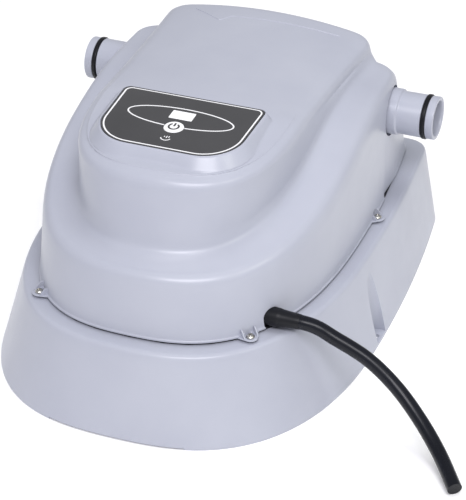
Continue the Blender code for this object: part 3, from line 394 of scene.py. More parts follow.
def box(name, low, high):
    (x0, y0, z0), (x1, y1, z1) = low, high
    return prism(name, [(x0, y0), (x1, y0), (x1, y1), (x0, y1)], z0, z1)


def rod(name, radius, start, end, steps=40, chamfer=0.0):
    start, end = Vector(start), Vector(end)
    length = (end - start).length
    profile = [(radius, 0), (radius, length)]
    if chamfer:
        profile = [(radius, 0), (radius, length - chamfer), (radius - chamfer, length)]
    return turned(name, profile, start, end - start, steps=steps)


def carve(item, steps):
    """Runs Boolean steps of (operation, tools) and keeps the result."""
    for operation, tools in steps:
        for tool in tools:
            step = item.modifiers.new(tool.name, "BOOLEAN")
            step.operation, step.object, step.solver = operation, tool, "MANIFOLD"
    bpy.context.view_layer.update()
    graph = bpy.context.evaluated_depsgraph_get()
    mesh = bpy.data.meshes.new_from_object(item.evaluated_get(graph))
    item.modifiers.clear()
    old = item.data
    item.data = mesh
    bpy.data.meshes.remove(old)
    for _, tools in steps:
        for tool in tools:
            bpy.data.objects.remove(tool, do_unlink=True)
    return item


def surface_of(item):
    """Search tree and smooth corner normals of an uncut shell."""
    mesh = item.data
    mesh.shade_smooth()
    mesh.set_sharp_from_angle(angle=math.radians(35))
    mesh.calc_loop_triangles()
    points = [vert.co.copy() for vert in mesh.vertices]
    triangles = [tuple(part.vertices) for part in mesh.loop_triangles]
    corners = [[Vector(mesh.corner_normals[loop].vector) for loop in part.loops]
               for part in mesh.loop_triangles]
    return BVHTree.FromPolygons(points, triangles), points, triangles, corners


def keep_smooth(item, surface):
    """Gives the corners that still lie on the uncut shell its smooth normals."""
    tree, points, triangles, corners = surface
    mesh = item.data
    normals = [Vector(corner.vector) for corner in mesh.corner_normals]
    for face in mesh.polygons:
        spot, normal, _, _ = tree.find_nearest(face.center, NEAR_SHELL)
        if spot is None or (normal.dot(face.normal) < 0.9 and face.area > SLIVER_AREA):
            continue
        for loop in face.loop_indices:
            place = mesh.vertices[mesh.loops[loop].vertex_index].co
            spot, _, index, distance = tree.find_nearest(place, NEAR_SHELL)
            if spot is None or distance > ON_SHELL:
                continue
            a, b, c = (points[corner] for corner in triangles[index])
            smooth = barycentric_transform(spot, a, b, c, *corners[index])
            if smooth.length <= 0.5:
                continue
            if smooth.normalized().dot(face.normal) > 0.7 or face.area < SLIVER_AREA:
                normals[loop] = smooth.normalized()
    mesh.normals_split_custom_set([tuple(normal) for normal in normals])


def finished(item, finish, body="case", degrees=28.0, surface=None):
    """Gives a carved piece its finish, shading and body."""
    item.data.materials.clear()
    item.data.materials.append(FINISHES[finish])
    shade(item, degrees)
    if surface:
        keep_smooth(item, surface)
    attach(item, body)
    return item


# ---------------------------------------------------------------- shell surfaces

def smoothstep(value):
    value = np.clip(value, 0, 1)
    return value * value * (3 - 2 * value)


def crown_height(x, y):
    ahead = np.maximum(0.0, -y - CROWN_FLAT)
    return CROWN_TOP - CROWN_BOW * (x / CROWN_HALF) ** 2 - CROWN_DIP * ahead * ahead / (ahead + CROWN_BEND)


def shoulder_height(y):
    return SHOULDER_LOW + SHOULDER_RISE * smoothstep((y - SHOULDER_FRONT) / SHOULDER_RUN)


def spaced(line, count):
    """The line resampled to count + 1 points at equal distances."""
    line = np.asarray(line)
    along = np.concatenate([[0], np.cumsum(np.linalg.norm(np.diff(line, axis=0), axis=1))])
    want = np.linspace(0, along[-1], count + 1)
    return np.stack([np.interp(want, along, line[:, column]) for column in range(line.shape[1])], 1)


def level_outline(level, inset=0.0):
    """Dense outline of a level: superelliptic front, bowed sides, rounded rear corners and bowed back."""
    width, front, widest, back, back_width, corner, bow, power = level[:8]
    width, front, back, back_width = width - inset, front + inset, back - inset, back_width - inset
    corner = max(corner - inset, 0.004)
    turn = np.linspace(0, math.pi / 2, 1200)
    arc = np.stack([width * np.sin(turn) ** (2 / power),
                    widest - (widest - front) * np.abs(np.cos(turn)) ** (2 / power)], 1)
    end = back - bow - corner
    part = np.linspace(0, 1, 200)
    side = np.stack([width + (back_width - width) * part ** 2, widest + (end - widest) * part], 1)
    bend = np.stack([back_width - corner + corner * np.sin(math.pi / 2 * (1 - part)),
                     end + corner * np.cos(math.pi / 2 * (1 - part))], 1)
    half_back = back_width - corner
    across = half_back * (1 - part)
    rear = np.stack([across, back - bow * (across / half_back) ** 2], 1)
    half = [spaced(run, count)[:-1] for run, count in zip((arc, side, bend, rear), RING_PARTS)]
    half = np.concatenate(half + [np.array([[0.0, back]])])
    ring = np.concatenate([half, half[-2:0:-1] * [-1, 1]])
    for _ in range(RING_SMOOTHINGS):
        ring = 0.5 * ring + 0.25 * (np.roll(ring, 1, 0) + np.roll(ring, -1, 0))
    return ring


def level_height(level, x, y, drop=0.0):
    front, back, height = level[1], level[3], level[8]
    if isinstance(height, float):
        return np.full(len(x), height - drop)
    if len(height) == 1:
        return crown_height(x, y) - height[0] - drop
    low, mid, high = height
    bend_front, bend_back = (low - mid) / front, (high - mid) / back
    curve = (bend_back - bend_front) / (back - front)
    slope = bend_front - curve * front
    return shoulder_height(y) + mid + slope * y + curve * y * y - drop


def level_row(level, inset=0.0, drop=0.0):
    ring = level_outline(level, inset)
    return np.column_stack([ring, level_height(level, ring[:, 0], ring[:, 1], drop)])


def mixed(first, second, parts):
    return [first + (second - first) * part for part in parts]


def flowing_rows(rows, steps):
    """Rows of a smooth skin through given rows (centripetal Catmull-Rom), with one count in steps per gap."""
    rows = [2 * rows[0] - rows[1]] + list(rows) + [2 * rows[-1] - rows[-2]]
    line = []
    for index, count in enumerate(steps):
        a, b, c, d = rows[index:index + 4]
        knots = [np.sqrt(np.maximum(np.linalg.norm(q - p, axis=1, keepdims=True), 1e-7))
                 for p, q in ((a, b), (b, c), (c, d))]
        leave = ((b - a) / knots[0] - (c - a) / (knots[0] + knots[1]) + (c - b) / knots[1]) * knots[1]
        reach = ((c - b) / knots[1] - (d - b) / (knots[1] + knots[2]) + (d - c) / knots[2]) * knots[1]
        for step in range(count):
            t = step / count
            line.append((2 * t ** 3 - 3 * t ** 2 + 1) * b + (t ** 3 - 2 * t ** 2 + t) * leave
                        + (3 * t ** 2 - 2 * t ** 3) * c + (t ** 3 - t ** 2) * reach)
    return line + [rows[-2]]


# ---------------------------------------------------------------- panel plane

PANEL_PLACE = Matrix.Translation((0, PANEL_Y, PANEL_Z)) @ Matrix.Rotation(PANEL_TILT, 4, "X")


def panel_outline(grow, steps=16):
    """D-shaped panel outline, counter-clockwise from the middle of the front."""
    back_radius = 0.006 + grow * 0.5
    half = []
    for index in range(steps + 1):
        turn = math.pi / 2 * index / steps
        half.append((PANEL_HALF - PANEL_TAPER - PANEL_CORNER_X + (PANEL_CORNER_X + grow) * math.sin(turn),
                     PANEL_FRONT + PANEL_CORNER_Y - (PANEL_CORNER_Y + grow) * math.cos(turn)))
    for index in range(9):
        turn = math.pi / 2 * index / 8
        half.append((PANEL_HALF + grow - back_radius + back_radius * math.cos(turn),
                     PANEL_BACK + grow * 0.3 - back_radius + back_radius * math.sin(turn)))
    return half + [(-x, y) for x, y in reversed(half)]


def border_outline(inset, corner):
    """Outline of the printed border: the panel's own outline moved inwards, with a rounder back corner."""
    front_x, front_y = PANEL_CORNER_X - inset, PANEL_CORNER_Y - inset
    half = []
    for turn in np.linspace(0, math.pi / 2, 29):
        half.append((PANEL_HALF - PANEL_TAPER - PANEL_CORNER_X + front_x * math.sin(turn),
                     PANEL_FRONT + PANEL_CORNER_Y - front_y * math.cos(turn)))
    side = PANEL_HALF - inset
    for turn in np.linspace(0, math.pi / 2, 13):
        half.append((side - corner + corner * math.cos(turn),
                     PANEL_BACK - 0.8 * inset - corner + corner * math.sin(turn)))
    return half + [(-x, y) for x, y in reversed(half)]


def panel_plane(y):
    """Height of the panel's plane over a place."""
    return PANEL_Z + (y - PANEL_Y) * math.tan(PANEL_TILT)


def rays_to(outline, centre, directions):
    """Where rays from centre, seen from above, meet an outline that is given in the panel's plane."""
    outline = np.asarray(outline) * [1.0, math.cos(PANEL_TILT)] + [0.0, PANEL_Y] - centre
    first, second = outline, np.roll(outline, -1, 0)
    reach = np.zeros(len(directions))
    for index, way in enumerate(directions):
        edge = second - first
        cross = way[0] * edge[:, 1] - way[1] * edge[:, 0]
        cross[np.abs(cross) < 1e-12] = 1e-12
        distance = (first[:, 0] * edge[:, 1] - first[:, 1] * edge[:, 0]) / cross
        share = (first[:, 0] * way[1] - first[:, 1] * way[0]) / cross
        hit = distance[(share >= -1e-9) & (share <= 1 + 1e-9) & (distance > 0)]
        reach[index] = hit.max()
    return centre + directions * reach[:, None]


SKIRT_TOP, SKIRT_TURN, SKIRT_SLOPE, SKIRT_FOOT = 0.0006, 0.0024, 1.30, 0.0092


def skirt_drop(grow):
    """How far the pad's side lies below the panel's plane, by distance out from the panel's edge."""
    if grow <= SKIRT_TOP:
        return 0.0
    if grow <= SKIRT_TURN:
        return SKIRT_SLOPE / 2 * (grow - SKIRT_TOP) ** 2 / (SKIRT_TURN - SKIRT_TOP)
    return SKIRT_SLOPE * (grow - (SKIRT_TOP + SKIRT_TURN) / 2)


def pad_row(grow, directions, centre):
    ring = rays_to(panel_outline(grow), centre, directions)
    top = panel_plane(ring[:, 1]) - skirt_drop(grow)
    ground = crown_height(ring[:, 0], ring[:, 1])
    blend = 0.0003 + 0.0012 * float(smoothstep((grow - 0.003) / 0.004))
    part = np.clip(0.5 + 0.5 * (top - ground) / blend, 0, 1)
    return np.column_stack([ring, ground + (top - ground) * part + blend * part * (1 - part)])


# ---------------------------------------------------------------- housing

def housing_rows():
    """Rings of the housing's outside from its foot to the floor of the panel recess."""
    rows = [level_row(level) for level in HOUSING_LEVELS]
    foot, brow = rows[0], rows[1]
    wall = mixed(foot, brow, (0.05, 0.10, 0.3, 0.5, 0.7, 0.86))
    lip = []
    for height, proud in LIP:
        ring = level_outline(HOUSING_LEVELS[0], -proud)
        lip.append(np.column_stack([ring, np.full(len(ring), SEAM_Z + height)]))
    shoulder, crown = rows[1:10], rows[10:]
    controls = lip + wall + shoulder + mixed(rows[9], rows[10], (0.12, 0.4, 0.7, 0.9)) + crown
    steps = [1] * 3 + [2] + [2, 5, 6, 6, 5, 4] + [4, 3, 3, 3, 4, 5, 4, 4] + [2, 4, 4, 3, 2] + [4, 4, 4]
    centre = np.array([0.0, PANEL_Y])
    rim = rows[-1][:, :2]
    directions = rim - centre
    directions /= np.linalg.norm(directions, axis=1, keepdims=True)
    outer = rays_to(panel_outline(SKIRT_FOOT), centre, directions)
    inward = [rim + (outer - rim) * part for part in (0.05, 0.10, 0.15)]
    first = [np.column_stack([ring, crown_height(ring[:, 0], ring[:, 1]) - drop])
             for ring, drop in zip(inward, (0.0002, 0.0, 0.0))]
    skin_rows = flowing_rows(controls + first, steps + [3, 2, 2])
    for part in np.linspace(0.15, 1.0, 46)[1:]:
        ring = rim + (outer - rim) * part
        skin_rows.append(np.column_stack([ring, crown_height(ring[:, 0], ring[:, 1])]))
    knee = 0.0046
    grows = [np.arange(SKIRT_FOOT - 0.0003, knee, -0.0003), np.arange(knee, 0.0005, -0.0004)]
    for grow in np.concatenate(grows):
        skin_rows.append(pad_row(grow, directions, centre))
    edge = rays_to(panel_outline(GAP), centre, directions)
    for drop in (-0.0002, PANEL_RECESS):
        skin_rows.append(np.column_stack([edge, panel_plane(edge[:, 1]) - drop]))
    for part in (0.75, 0.5, 0.25, 0.06):
        ring = centre + (edge - centre) * part
        skin_rows.append(np.column_stack([ring, panel_plane(ring[:, 1]) - PANEL_RECESS]))
    return skin_rows


def housing_room():
    """Solid of the free room inside the housing."""
    rows = [level_row(level, WALL, 0.8 * WALL) for level in HOUSING_LEVELS]
    rows[0][:, 2] = SEAM_Z - 0.004
    last = rows[-1]
    for scale in (0.8, 0.42):
        ring = np.column_stack([last[:, 0] * scale, 0.03 + (last[:, 1] - 0.03) * scale])
        rows.append(np.column_stack([ring, crown_height(ring[:, 0], ring[:, 1]) - WALL]))
    return skin("housing_room", rows)


def port_flat(name, side, inner):
    """Slab with an arched top whose inner face is the flat on the wall around a port."""
    foot = SEAM_Z - PORT_Z - 0.006
    half = PORT_FLAT_THICKNESS / 2
    turn = np.linspace(0, math.pi, 41)
    outline = [(-PORT_FLAT_RADIUS, foot), (PORT_FLAT_RADIUS, foot)]
    outline += list(zip(PORT_FLAT_RADIUS * np.cos(turn), PORT_FLAT_RADIUS * np.sin(turn)))
    on_side = Matrix(((0, 0, 1, 0), (1, 0, 0, 0), (0, 1, 0, 0), (0, 0, 0, 1)))
    place = Matrix.Translation((side * (inner + half), PORT_Y, PORT_Z)) @ on_side
    return prism(name, outline, -half, half, place)


def ear_outline(screw):
    """Rounded tongue round a screw that widens into the housing's foot."""
    level = level_outline(HOUSING_LEVELS[0])
    index = int(np.argmin(np.linalg.norm(level - np.array(screw[:2]), axis=1)))
    out = Vector(level[index])
    tangent = Vector(level[(index + 3) % len(level)] - level[index - 3]).normalized()
    normal = Vector((tangent.y, -tangent.x))
    if normal.dot(Vector(screw[:2]) - Vector((0, 0.03))) < 0:
        normal = -normal
    tangent = Vector((-normal.y, normal.x))
    heart = Vector(screw[:2])
    depth = (heart - out).dot(normal)
    line = [heart - normal * EAR_ROOT - tangent * EAR_REACH, heart - normal * EAR_ROOT + tangent * EAR_REACH,
            heart + tangent * EAR_REACH - normal * (depth + 0.0004),
            heart + tangent * (EAR_RADIUS * EAR_FLARE) - normal * (depth * 0.4 - 0.0008)]
    for turn in np.linspace(math.radians(62), math.radians(-62), 17):
        line.append(heart + (normal * math.cos(turn) + tangent * math.sin(turn)) * EAR_RADIUS)
    line.append(heart - tangent * (EAR_RADIUS * EAR_FLARE) - normal * (depth * 0.4 - 0.0008))
    line.append(heart - tangent * EAR_REACH - normal * (depth + 0.0004))
    return line, normal, tangent


def cheek(name, screw, normal, tangent, side):
    """Thin rib that climbs from an ear up the wall beside the pocket."""
    foot = Vector((screw.x, screw.y, SCREW_SEAT - 0.0006))
    root = foot + tangent.to_3d() * (side * (POCKET_RADIUS + 0.0007))
    out, up, across = normal.to_3d(), Vector((0, 0, 1)), tangent.to_3d() * 0.0005
    shape = [root - out * 0.0075, root + out * 0.0022, root + out * 0.0014 + up * 0.0012,
             root - out * 0.0030 + up * 0.0060, root - out * 0.0075 + up * 0.0064]
    rows = [[point - across for point in shape], [point + across for point in shape]]
    return skin(name, rows)


def moulded_line():
    """Low raised line across the rear of the crown."""
    spots = spaced([(-0.066, 0.136), (-0.036, 0.115), (-0.028, 0.125), (0.070, 0.130)], 70)
    sunk = 0.00015
    way = [Vector((x, y, float(crown_height(x, y)) - sunk)) for x, y in spots]
    return swept("moulded_line", way, 0.0007, steps=10)


def make_housing():
    shell = skin("housing_shell", housing_rows())
    surface = surface_of(shell)
    room = housing_room()
    pad_room = prism("pad_room", panel_outline(0.0), -0.020, -0.0042, PANEL_PLACE)
    backing = [port_flat(f"backing_{side}", side, PORT_FLAT_X - WALL) for side in (1, -1)]
    columns, ears, pockets, ways, cheeks = [], [], [], [], []
    for index, screw in enumerate(SCREWS):
        spot = screw.x, screw.y
        columns.append(rod(f"column_{index}", POCKET_RADIUS + COLUMN_WALL, (*spot, SEAM_Z - 0.006),
                           (*spot, SCREW_SEAT + POCKET_HEIGHT + WALL)))
        outline, normal, tangent = ear_outline(screw)
        ears.append(prism(f"ear_{index}", outline, SEAM_Z + 0.0002, SCREW_SEAT, edge=0.0006))
        cheeks += [cheek(f"cheek_{index}_{side}", screw, normal, tangent, side) for side in (-1, 1)]
        pockets.append(rod(f"pocket_{index}", POCKET_RADIUS, (*spot, SCREW_SEAT - 0.0004),
                           (*spot, SCREW_SEAT + POCKET_HEIGHT), chamfer=0.002))
        ways.append(rod(f"screw_way_{index}", THREAD_RADIUS, (*spot, SEAM_Z - 0.01),
                        (*spot, SCREW_SEAT + 0.001)))
    carve(room, [("UNION", [pad_room]), ("DIFFERENCE", backing + columns)])
    flats = [port_flat(f"flat_{side}", side, PORT_FLAT_X) for side in (1, -1)]
    holes = [rod(f"port_hole_{side}", PORT_HOLE_RADIUS, (side * 0.108, PORT_Y, PORT_Z),
                 (side * 0.140, PORT_Y, PORT_Z), 96) for side in (1, -1)]
    inside, outside = CORD_EXIT - Vector((0.02, 0, 0)), CORD_EXIT + Vector((0.03, 0, 0))
    notch = rod("notch_arch", NOTCH_RADIUS, inside, outside, 56)
    leg_half = NOTCH_RADIUS - 0.00001
    leg = box("notch_leg", (inside.x, CORD_EXIT.y - leg_half, SEAM_Z - 0.004),
              (outside.x, CORD_EXIT.y + leg_half, CORD_EXIT.z))
    cuts = [room] + pockets + ways + flats + holes + [notch, leg] + panel_ways(0.0004)
    carve(shell, [("UNION", ears + cheeks + [moulded_line()]), ("DIFFERENCE", cuts)])
    finished(shell, "case", surface=surface)
    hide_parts("upper_housing")


def rounded_box(half_x, half_y, radius, centre):
    line, steps = [], 6
    for corner, (sx, sy) in enumerate(((1, 1), (-1, 1), (-1, -1), (1, -1))):
        for step in range(steps + 1):
            turn = math.pi / 2 * (corner + step / steps)
            line.append((centre[0] + sx * (half_x - radius) + radius * math.cos(turn),
                         centre[1] + sy * (half_y - radius) + radius * math.sin(turn)))
    return line


def circle(radius, centre, steps):
    return [(centre[0] + radius * math.cos(turn), centre[1] + radius * math.sin(turn))
            for turn in np.linspace(0, 2 * math.pi, steps, endpoint=False)]


def panel_ways(room, lamp=True):
    """Openings under the display, the button and the lamp."""
    window = rounded_box(DISPLAY_SIZE[0] / 2 + room, DISPLAY_SIZE[1] / 2 + room, 0.0010, (0, DISPLAY_Y))
    outlines = [("window_way", window), ("button_way", circle(BUTTON_RADIUS + room, (0, BUTTON_Y), 96))]
    if lamp:
        outlines.append(("lamp_way", circle(LAMP_RADIUS + room, (0, LAMP_Y), 40)))
    return [prism(name, outline, -0.012, 0.004, PANEL_PLACE) for name, outline in outlines]


# ---------------------------------------------------------------- base

def base_room():
    """Free room under the deck, with the ribs, posts and pocket walls left out."""
    low, high = level_row(BASE_LEVELS[0], 0.0031), level_row(BASE_LEVELS[1], 0.0030)
    low[:, 2], high[:, 2] = -0.002, DECK_TOP - WALL
    room = skin("base_room", [low, high])
    floor = DECK_TOP - WALL
    top = floor + 0.002
    solid = [box(f"long_rib_{x}", (x - RIB_HALF, -0.23, floor - LONG_RIB_DEPTH), (x + RIB_HALF, 0.23, top))
             for x in LONG_RIBS_X]
    solid += [box(f"cross_rib_{y}", (-0.17, y - RIB_HALF, floor - CROSS_RIB_DEPTH), (0.17, y + RIB_HALF, top))
              for y in CROSS_RIBS_Y]
    solid += [rod(f"post_{index}", POST_RADIUS, (x, y, POST_FOOT), (x, y, floor + 0.001))
              for index, (x, y, _) in enumerate(SCREWS)]
    solid += [rod(f"pocket_wall_{side}", ANCHOR_RADIUS + ANCHOR_WALL, (side * ANCHOR_X, ANCHOR_Y, -0.01),
                  (side * ANCHOR_X, ANCHOR_Y, floor + 0.001)) for side in (1, -1)]
    return carve(room, [("DIFFERENCE", solid)])


def base_rows():
    rows = [level_row(level) for level in BASE_LEVELS]
    foot = level_row(BASE_LEVELS[0], 0.0008)
    tread = mixed(rows[0], rows[1], (0.015,))[0]
    side = mixed(rows[0], rows[1], (0.08, 0.3, 0.5, 0.7, 0.9))
    flat = [level_row(BASE_LEVELS[3], inset) for inset in (0.0012, 0.0040, 0.0070)]
    skin_rows = flowing_rows([foot, tread] + side + rows[1:] + flat, [3, 2, 6, 6, 6, 6, 3, 4, 4, 2, 2, 1])
    last = skin_rows[-1]
    for scale in (0.85, 0.6, 0.3, 0.05):
        skin_rows.append(np.column_stack([last[:, 0] * scale, last[:, 1] * scale, last[:, 2]]))
    return skin_rows


def make_base():
    base = skin("base_tub", base_rows())
    surface = surface_of(base)
    board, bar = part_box("power_board"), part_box("cord_clamp")
    inset = BOARD_STAND_INSET
    posts = [(x, y, board[0].z - GAP) for x in (board[0].x + inset, board[1].x - inset)
             for y in (board[0].y + inset, board[1].y - inset)]
    stands = [rod(f"stand_{index}", BOARD_STAND_RADIUS, (x, y, DECK_TOP - 0.001), (x, y, top))
              for index, (x, y, top) in enumerate(posts)]
    clamp_x = (bar[0].x + bar[1].x) / 2
    for side in (1, -1):
        clamp_y = CORD_EXIT.y + side * CLAMP_STAND_OFFSET
        stands.append(rod(f"clamp_stand_{side}", CLAMP_STAND_RADIUS, (clamp_x, clamp_y, DECK_TOP - 0.001),
                          (clamp_x, clamp_y, CORD_EXIT.z - GAP)))
    cuts = [base_room()]
    for side in (1, -1):
        cuts.append(rod(f"anchor_pocket_{side}", ANCHOR_RADIUS, (side * ANCHOR_X, ANCHOR_Y, ANCHOR_FLOOR),
                        (side * ANCHOR_X, ANCHOR_Y, 0.072), 72))
        hole_x = side * (ANCHOR_X - 0.001)
        cuts.append(rod(f"anchor_hole_{side}", ANCHOR_HOLE_RADIUS, (hole_x, ANCHOR_Y, -0.01),
                        (hole_x, ANCHOR_Y, 0.01)))
    cuts.append(box("front_relief", (-0.059, -0.245, -0.002), (0.059, -0.185, 0.00175)))
    cuts += [rod(f"thread_{index}", THREAD_RADIUS, (x, y, 0.052), (x, y, DECK_TOP + 0.01))
             for index, (x, y, _) in enumerate(SCREWS)]
    carve(base, [("UNION", stands), ("DIFFERENCE", cuts)])
    finished(base, "case", surface=surface)
    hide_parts("base_shell")


# ---------------------------------------------------------------- ports, screws and cord

def make_ports():
    near, far = O_RING_X - GROOVE_HALF, O_RING_X + GROOVE_HALF
    outside = [(BORE_RADIUS + 0.0006, PORT_REACH), (PIPE_RADIUS, PORT_REACH), (PIPE_RADIUS, far),
               (GROOVE_RADIUS, far), (GROOVE_RADIUS, near), (PIPE_RADIUS, near),
               (PIPE_RADIUS - 0.0002, PIPE_START), (COLLAR_RADIUS, COLLAR_END),
               (COLLAR_RADIUS, FLANGE_FRONT), (FLANGE_RADIUS, FLANGE_FRONT), (FLANGE_RADIUS, FLANGE_BACK),
               (BORE_RADIUS, FLANGE_BACK), (BORE_RADIUS, PORT_REACH - 0.0020)]
    for side, word in ((1, "outlet"), (-1, "inlet")):
        centre, axis = (0, PORT_Y, PORT_Z), (side, 0, 0)
        spigot = turned(f"{word}_spigot", soften(outside, 0.0008, True), centre, axis, "case",
                        closed=True, steps=120, degrees=40)
        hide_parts(f"{word}_port")
        low, high = O_RING_INSIDE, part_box(f"{word}_o_ring")[1].z - PORT_Z
        section = [(high, O_RING_X - O_RING_HALF), (high, O_RING_X + O_RING_HALF),
                   (low, O_RING_X + O_RING_HALF), (low, O_RING_X - O_RING_HALF)]
        seal = turned(f"{word}_mouth_ring", soften(section, 0.0013, True, 6), centre, axis, "rubber",
                      closed=True, steps=120, degrees=60)
        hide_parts(f"{word}_o_ring")


def make_screw(number, screw):
    """Pan-head screw with a cross recess."""
    low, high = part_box(f"housing_screw_{number}")
    seat = high.z - HEAD_HEIGHT
    profile = soften([(0.00001, HEAD_HEIGHT), (0.0021, 0.00225), (HEAD_RADIUS, 0.0009), (HEAD_RADIUS, 0.0),
                      (SHANK_RADIUS, 0.0), (SHANK_RADIUS, low.z - seat), (0.00001, low.z - seat)], 0.0007)
    item = turned(f"pan_screw_{number}", profile, (screw.x, screw.y, seat), (0, 0, 1), steps=48)
    turn = Matrix.Translation((screw.x, screw.y, seat)) @ Matrix.Rotation(0.4 + number, 4, "Z")
    arm, half = CROSS_ARM, CROSS_HALF
    outline = [(arm, -half), (arm, half), (half, half), (half, arm), (-half, arm), (-half, half),
               (-arm, half), (-arm, -half), (-half, -half), (-half, -arm), (half, -arm), (half, -half)]
    carve(item, [("DIFFERENCE", [prism(f"cross_{number}", outline, 0.0010, 0.0040, turn)])])
    finished(item, "steel", degrees=35)
    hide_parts(f"housing_screw_{number}")


def flowing(points, steps):
    """Points of a smooth line through all but the first and last of the given ones (Catmull-Rom)."""
    line = []
    for index in range(1, len(points) - 2):
        before, start, end, after = points[index - 1:index + 3]
        for step in range(steps):
            part = step / steps
            line.append(0.5 * (2 * start + (end - before) * part
                               + (2 * before - 5 * start + 4 * end - after) * part ** 2
                               + (3 * start - before - 3 * end + after) * part ** 3))
    return line + [points[-2]]


def make_cord():
    ahead = Vector((1, 0, 0))
    way = [CORD_EXIT, CORD_EXIT + ahead * (BOOT_LENGTH + 0.001)] + [Vector(point) for point in CORD_WAY]
    way.append(way[-1] * 2 - way[-2])
    points = [CORD_EXIT - ahead * CORD_INSIDE] + flowing(way, 12)
    cord = swept("mains_cord", points, CORD_RADIUS, "cord", steps=40)
    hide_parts("power_cord")
    bore = CORD_RADIUS + 0.00006
    profile = [(bore, 0.0202), (0.0062, 0.0202), (0.0065, 0.0170), (0.0069, 0.0100), (0.0074, 0.0040),
               (0.0079, 0.0020), (0.0079, -0.0110), (bore, -0.0110)]
    boot = turned("strain_relief", soften(profile, 0.0010, True), CORD_EXIT, ahead, "rubber", closed=True,
                  steps=64, degrees=50)
    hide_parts("cord_boot")


# ---------------------------------------------------------------- panel

def band(name, inner, outer, low, high, finish):
    """Closed flat ring on the panel between two outlines of equal count."""
    rows = []
    for outline, height in ((inner, low), (outer, low), (outer, high), (inner, high)):
        rows.append([PANEL_PLACE @ Vector((x, y, height)) for x, y in outline])
    return skin(name, rows, finish, closed=True)


def stroke(name, line, width, low, high, finish, body="case"):
    """Flat open line on the panel, of some width, with square ends."""
    line = [Vector(point) for point in line]
    left, right = [], []
    for index, point in enumerate(line):
        ahead = (line[min(index + 1, len(line) - 1)] - line[max(index - 1, 0)]).normalized()
        side = Vector((-ahead.y, ahead.x)) * width / 2
        left.append(point + side)
        right.append(point - side)
    return prism(name, left + right[::-1], low, high, PANEL_PLACE, finish, body)


def arc(radius, start, end, centre, steps=40):
    """Points of a circular arc between two angles in degrees."""
    return [(centre[0] + radius * math.cos(turn), centre[1] + radius * math.sin(turn))
            for turn in np.radians(np.linspace(start, end, steps + 1))]


def make_panel():
    plate = prism("panel_plate", panel_outline(-GAP, 28), -0.0008, 0.0002, PANEL_PLACE, edge=0.00015)
    carve(plate, [("DIFFERENCE", panel_ways(0.0003, lamp=False))])
    finished(plate, "panel")
    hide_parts("control_panel")
    band("panel_border", border_outline(0.0032, 0.0046), border_outline(0.0019, 0.0056),
         *PRINT_HEIGHTS, "white")
    middle_y, half_wide, half_deep, line_width, half_gap = 0.0080, 0.0455, 0.0140, 0.0012, 11.0
    loop = np.radians(np.linspace(half_gap - 90, 270 - half_gap, 241))
    ellipse = [(half_wide * math.cos(turn), middle_y + half_deep * math.sin(turn)) for turn in loop]
    stroke("panel_ellipse", ellipse, line_width, *PRINT_HEIGHTS, "white")
    window = rounded_box(DISPLAY_SIZE[0] / 2, DISPLAY_SIZE[1] / 2, 0.0008, (0, DISPLAY_Y))
    lens = prism("display_glass", window, -0.0008, 0.0003, PANEL_PLACE, "window", edge=0.0001)
    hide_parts("display_lens")
    stroke("lamp_cup", arc(0.0042, 198, 342, (0, LAMP_Y)), 0.0009, *PRINT_HEIGHTS, "white")
    for index, (x, low, high) in enumerate(((-0.0016, 0.0002, 0.0016), (0.0004, -0.0008, 0.0022),
                                            (0.0022, 0.0002, 0.0022))):
        stroke(f"lamp_ray_{index}", [(x, LAMP_Y + low), (x, LAMP_Y + high)], 0.0008, *PRINT_HEIGHTS, "white")


def make_button():
    hub = PANEL_PLACE @ Vector((0, BUTTON_Y, 0))
    normal = PANEL_PLACE.to_3x3() @ Vector((0, 0, 1))
    key, under, foot, stem = BUTTON_RADIUS, -0.0034, -0.0085, 0.0022
    rim = key + 0.0014
    profile = [(0.00001, 0.0008), (key * 0.6, 0.00078), (key - 0.0006, 0.0006), (key, 0.0), (key, under),
               (rim, under), (rim, under - 0.0010), (stem, under - 0.0010), (stem, foot), (0.00001, foot)]
    cap = turned("button_cap", soften(profile, 0.0004), hub, normal, "white", "power_key", steps=96)
    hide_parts("power_button")
    line_width = 0.0017
    stroke("power_arc", arc(0.0041, 122, 418, (0, BUTTON_Y), 60), line_width, *CAP_PRINT_HEIGHTS,
           "panel", "power_key")
    stroke("power_bar", [(0, BUTTON_Y + 0.0002), (0, BUTTON_Y + 0.0052)], line_width, *CAP_PRINT_HEIGHTS,
           "panel", "power_key")


# ---------------------------------------------------------------- carried-over nodes

def dress_frame():
    """Gives every CAD node the finish of its material slot."""
    for part in frame["record"]["subparts"]:
        node = frame["nodes"][part["node"]]
        finish = FINISHES[part["material_slot"]]
        if not node.data.materials:
            node.data.materials.append(finish)
        for slot in node.material_slots:
            slot.material = finish


# ---------------------------------------------------------------- stage

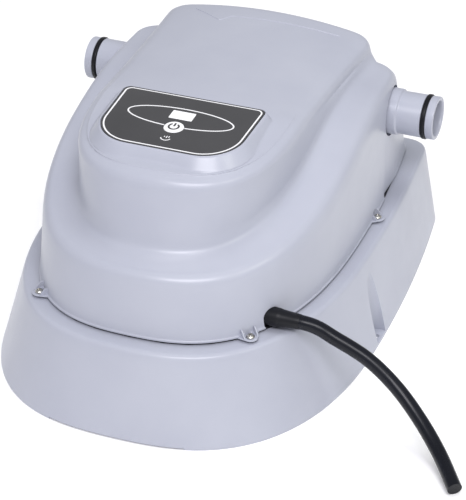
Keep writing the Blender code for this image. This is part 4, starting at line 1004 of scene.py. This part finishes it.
def make_stage():
    finish = Finish("floor_paper")
    finish.colour(finish.noise(scale=3.0),
                  [(0.3, (0.955, 0.955, 0.955, 1)), (0.7, (0.97, 0.97, 0.97, 1))])
    finish.shader.inputs["Roughness"].default_value = 0.9
    finish.shader.inputs["Emission Color"].default_value = (1.0, 1.0, 1.0, 1.0)
    finish.shader.inputs["Emission Strength"].default_value = 0.07
    finish.bump(finish.noise(scale=300.0), depth=0.0002, strength=0.1)
    reach = 6.0
    mesh = bpy.data.meshes.new("floor")
    mesh.from_pydata([(-reach, -reach, 0), (reach, -reach, 0), (reach, reach, 0), (-reach, reach, 0)], [],
                     [(0, 1, 2, 3)])
    mesh.materials.append(finish.made)
    floor = bpy.data.objects.new("floor", mesh)
    bpy.context.scene.collection.objects.link(floor)


def light(name, place, target, size, power, colour):
    """Area light aimed at a target."""
    data = bpy.data.lights.new(name, "AREA")
    data.shape, data.size, data.size_y = "RECTANGLE", size[0], size[1]
    data.energy, data.color = power, colour
    item = bpy.data.objects.new(name, data)
    bpy.context.scene.collection.objects.link(item)
    item.location = place
    item.rotation_euler = (Vector(target) - Vector(place)).to_track_quat("-Z", "Y").to_euler()
    return item


def make_lights():
    world = bpy.data.worlds.new("studio")
    bpy.context.scene.world = world
    world.use_nodes = True
    back = world.node_tree.nodes["Background"]
    back.inputs["Color"].default_value = (0.97, 0.975, 1.0, 1.0)
    back.inputs["Strength"].default_value = 0.41
    aim = (0, -0.05, 0.10)
    light("key", (0.68, -1.80, 2.25), aim, (1.8, 0.85), 54.0, (1.0, 0.985, 1.03))
    light("right", (1.75, -0.45, 1.65), aim, (0.6, 0.6), 6.0, (1.0, 1.02, 0.90))
    top = light("top", (0.15, 0.25, 2.60), (0.0, 0.05, 0.0), (1.4, 1.4), 25.0, (1.0, 1.0, 1.0))
    top.visible_glossy = False      # it lifts the crown without a reflection in the panel


def make_camera():
    """Camera solved from the photograph's outline."""
    turn, tip = math.radians(21.004), math.radians(31.875)
    ahead = Vector((-math.sin(turn) * math.cos(tip), math.cos(turn) * math.cos(tip), -math.sin(tip)))
    data = bpy.data.cameras.new("camera")
    data.sensor_width, data.lens = 36.0, 160.69
    item = bpy.data.objects.new("camera", data)
    bpy.context.scene.collection.objects.link(item)
    item.location = (0.60723, -1.52767, 1.07590)
    item.rotation_euler = ahead.to_track_quat("-Z", "Y").to_euler()
    bpy.context.scene.camera = item


bpy.context.scene.view_settings.view_transform = "Standard"
dress_frame()
make_housing()
make_base()
make_ports()
for number, screw in enumerate(SCREWS, 1):
    make_screw(number, screw)
make_cord()
make_panel()
make_button()
make_stage()
make_lights()
make_camera()
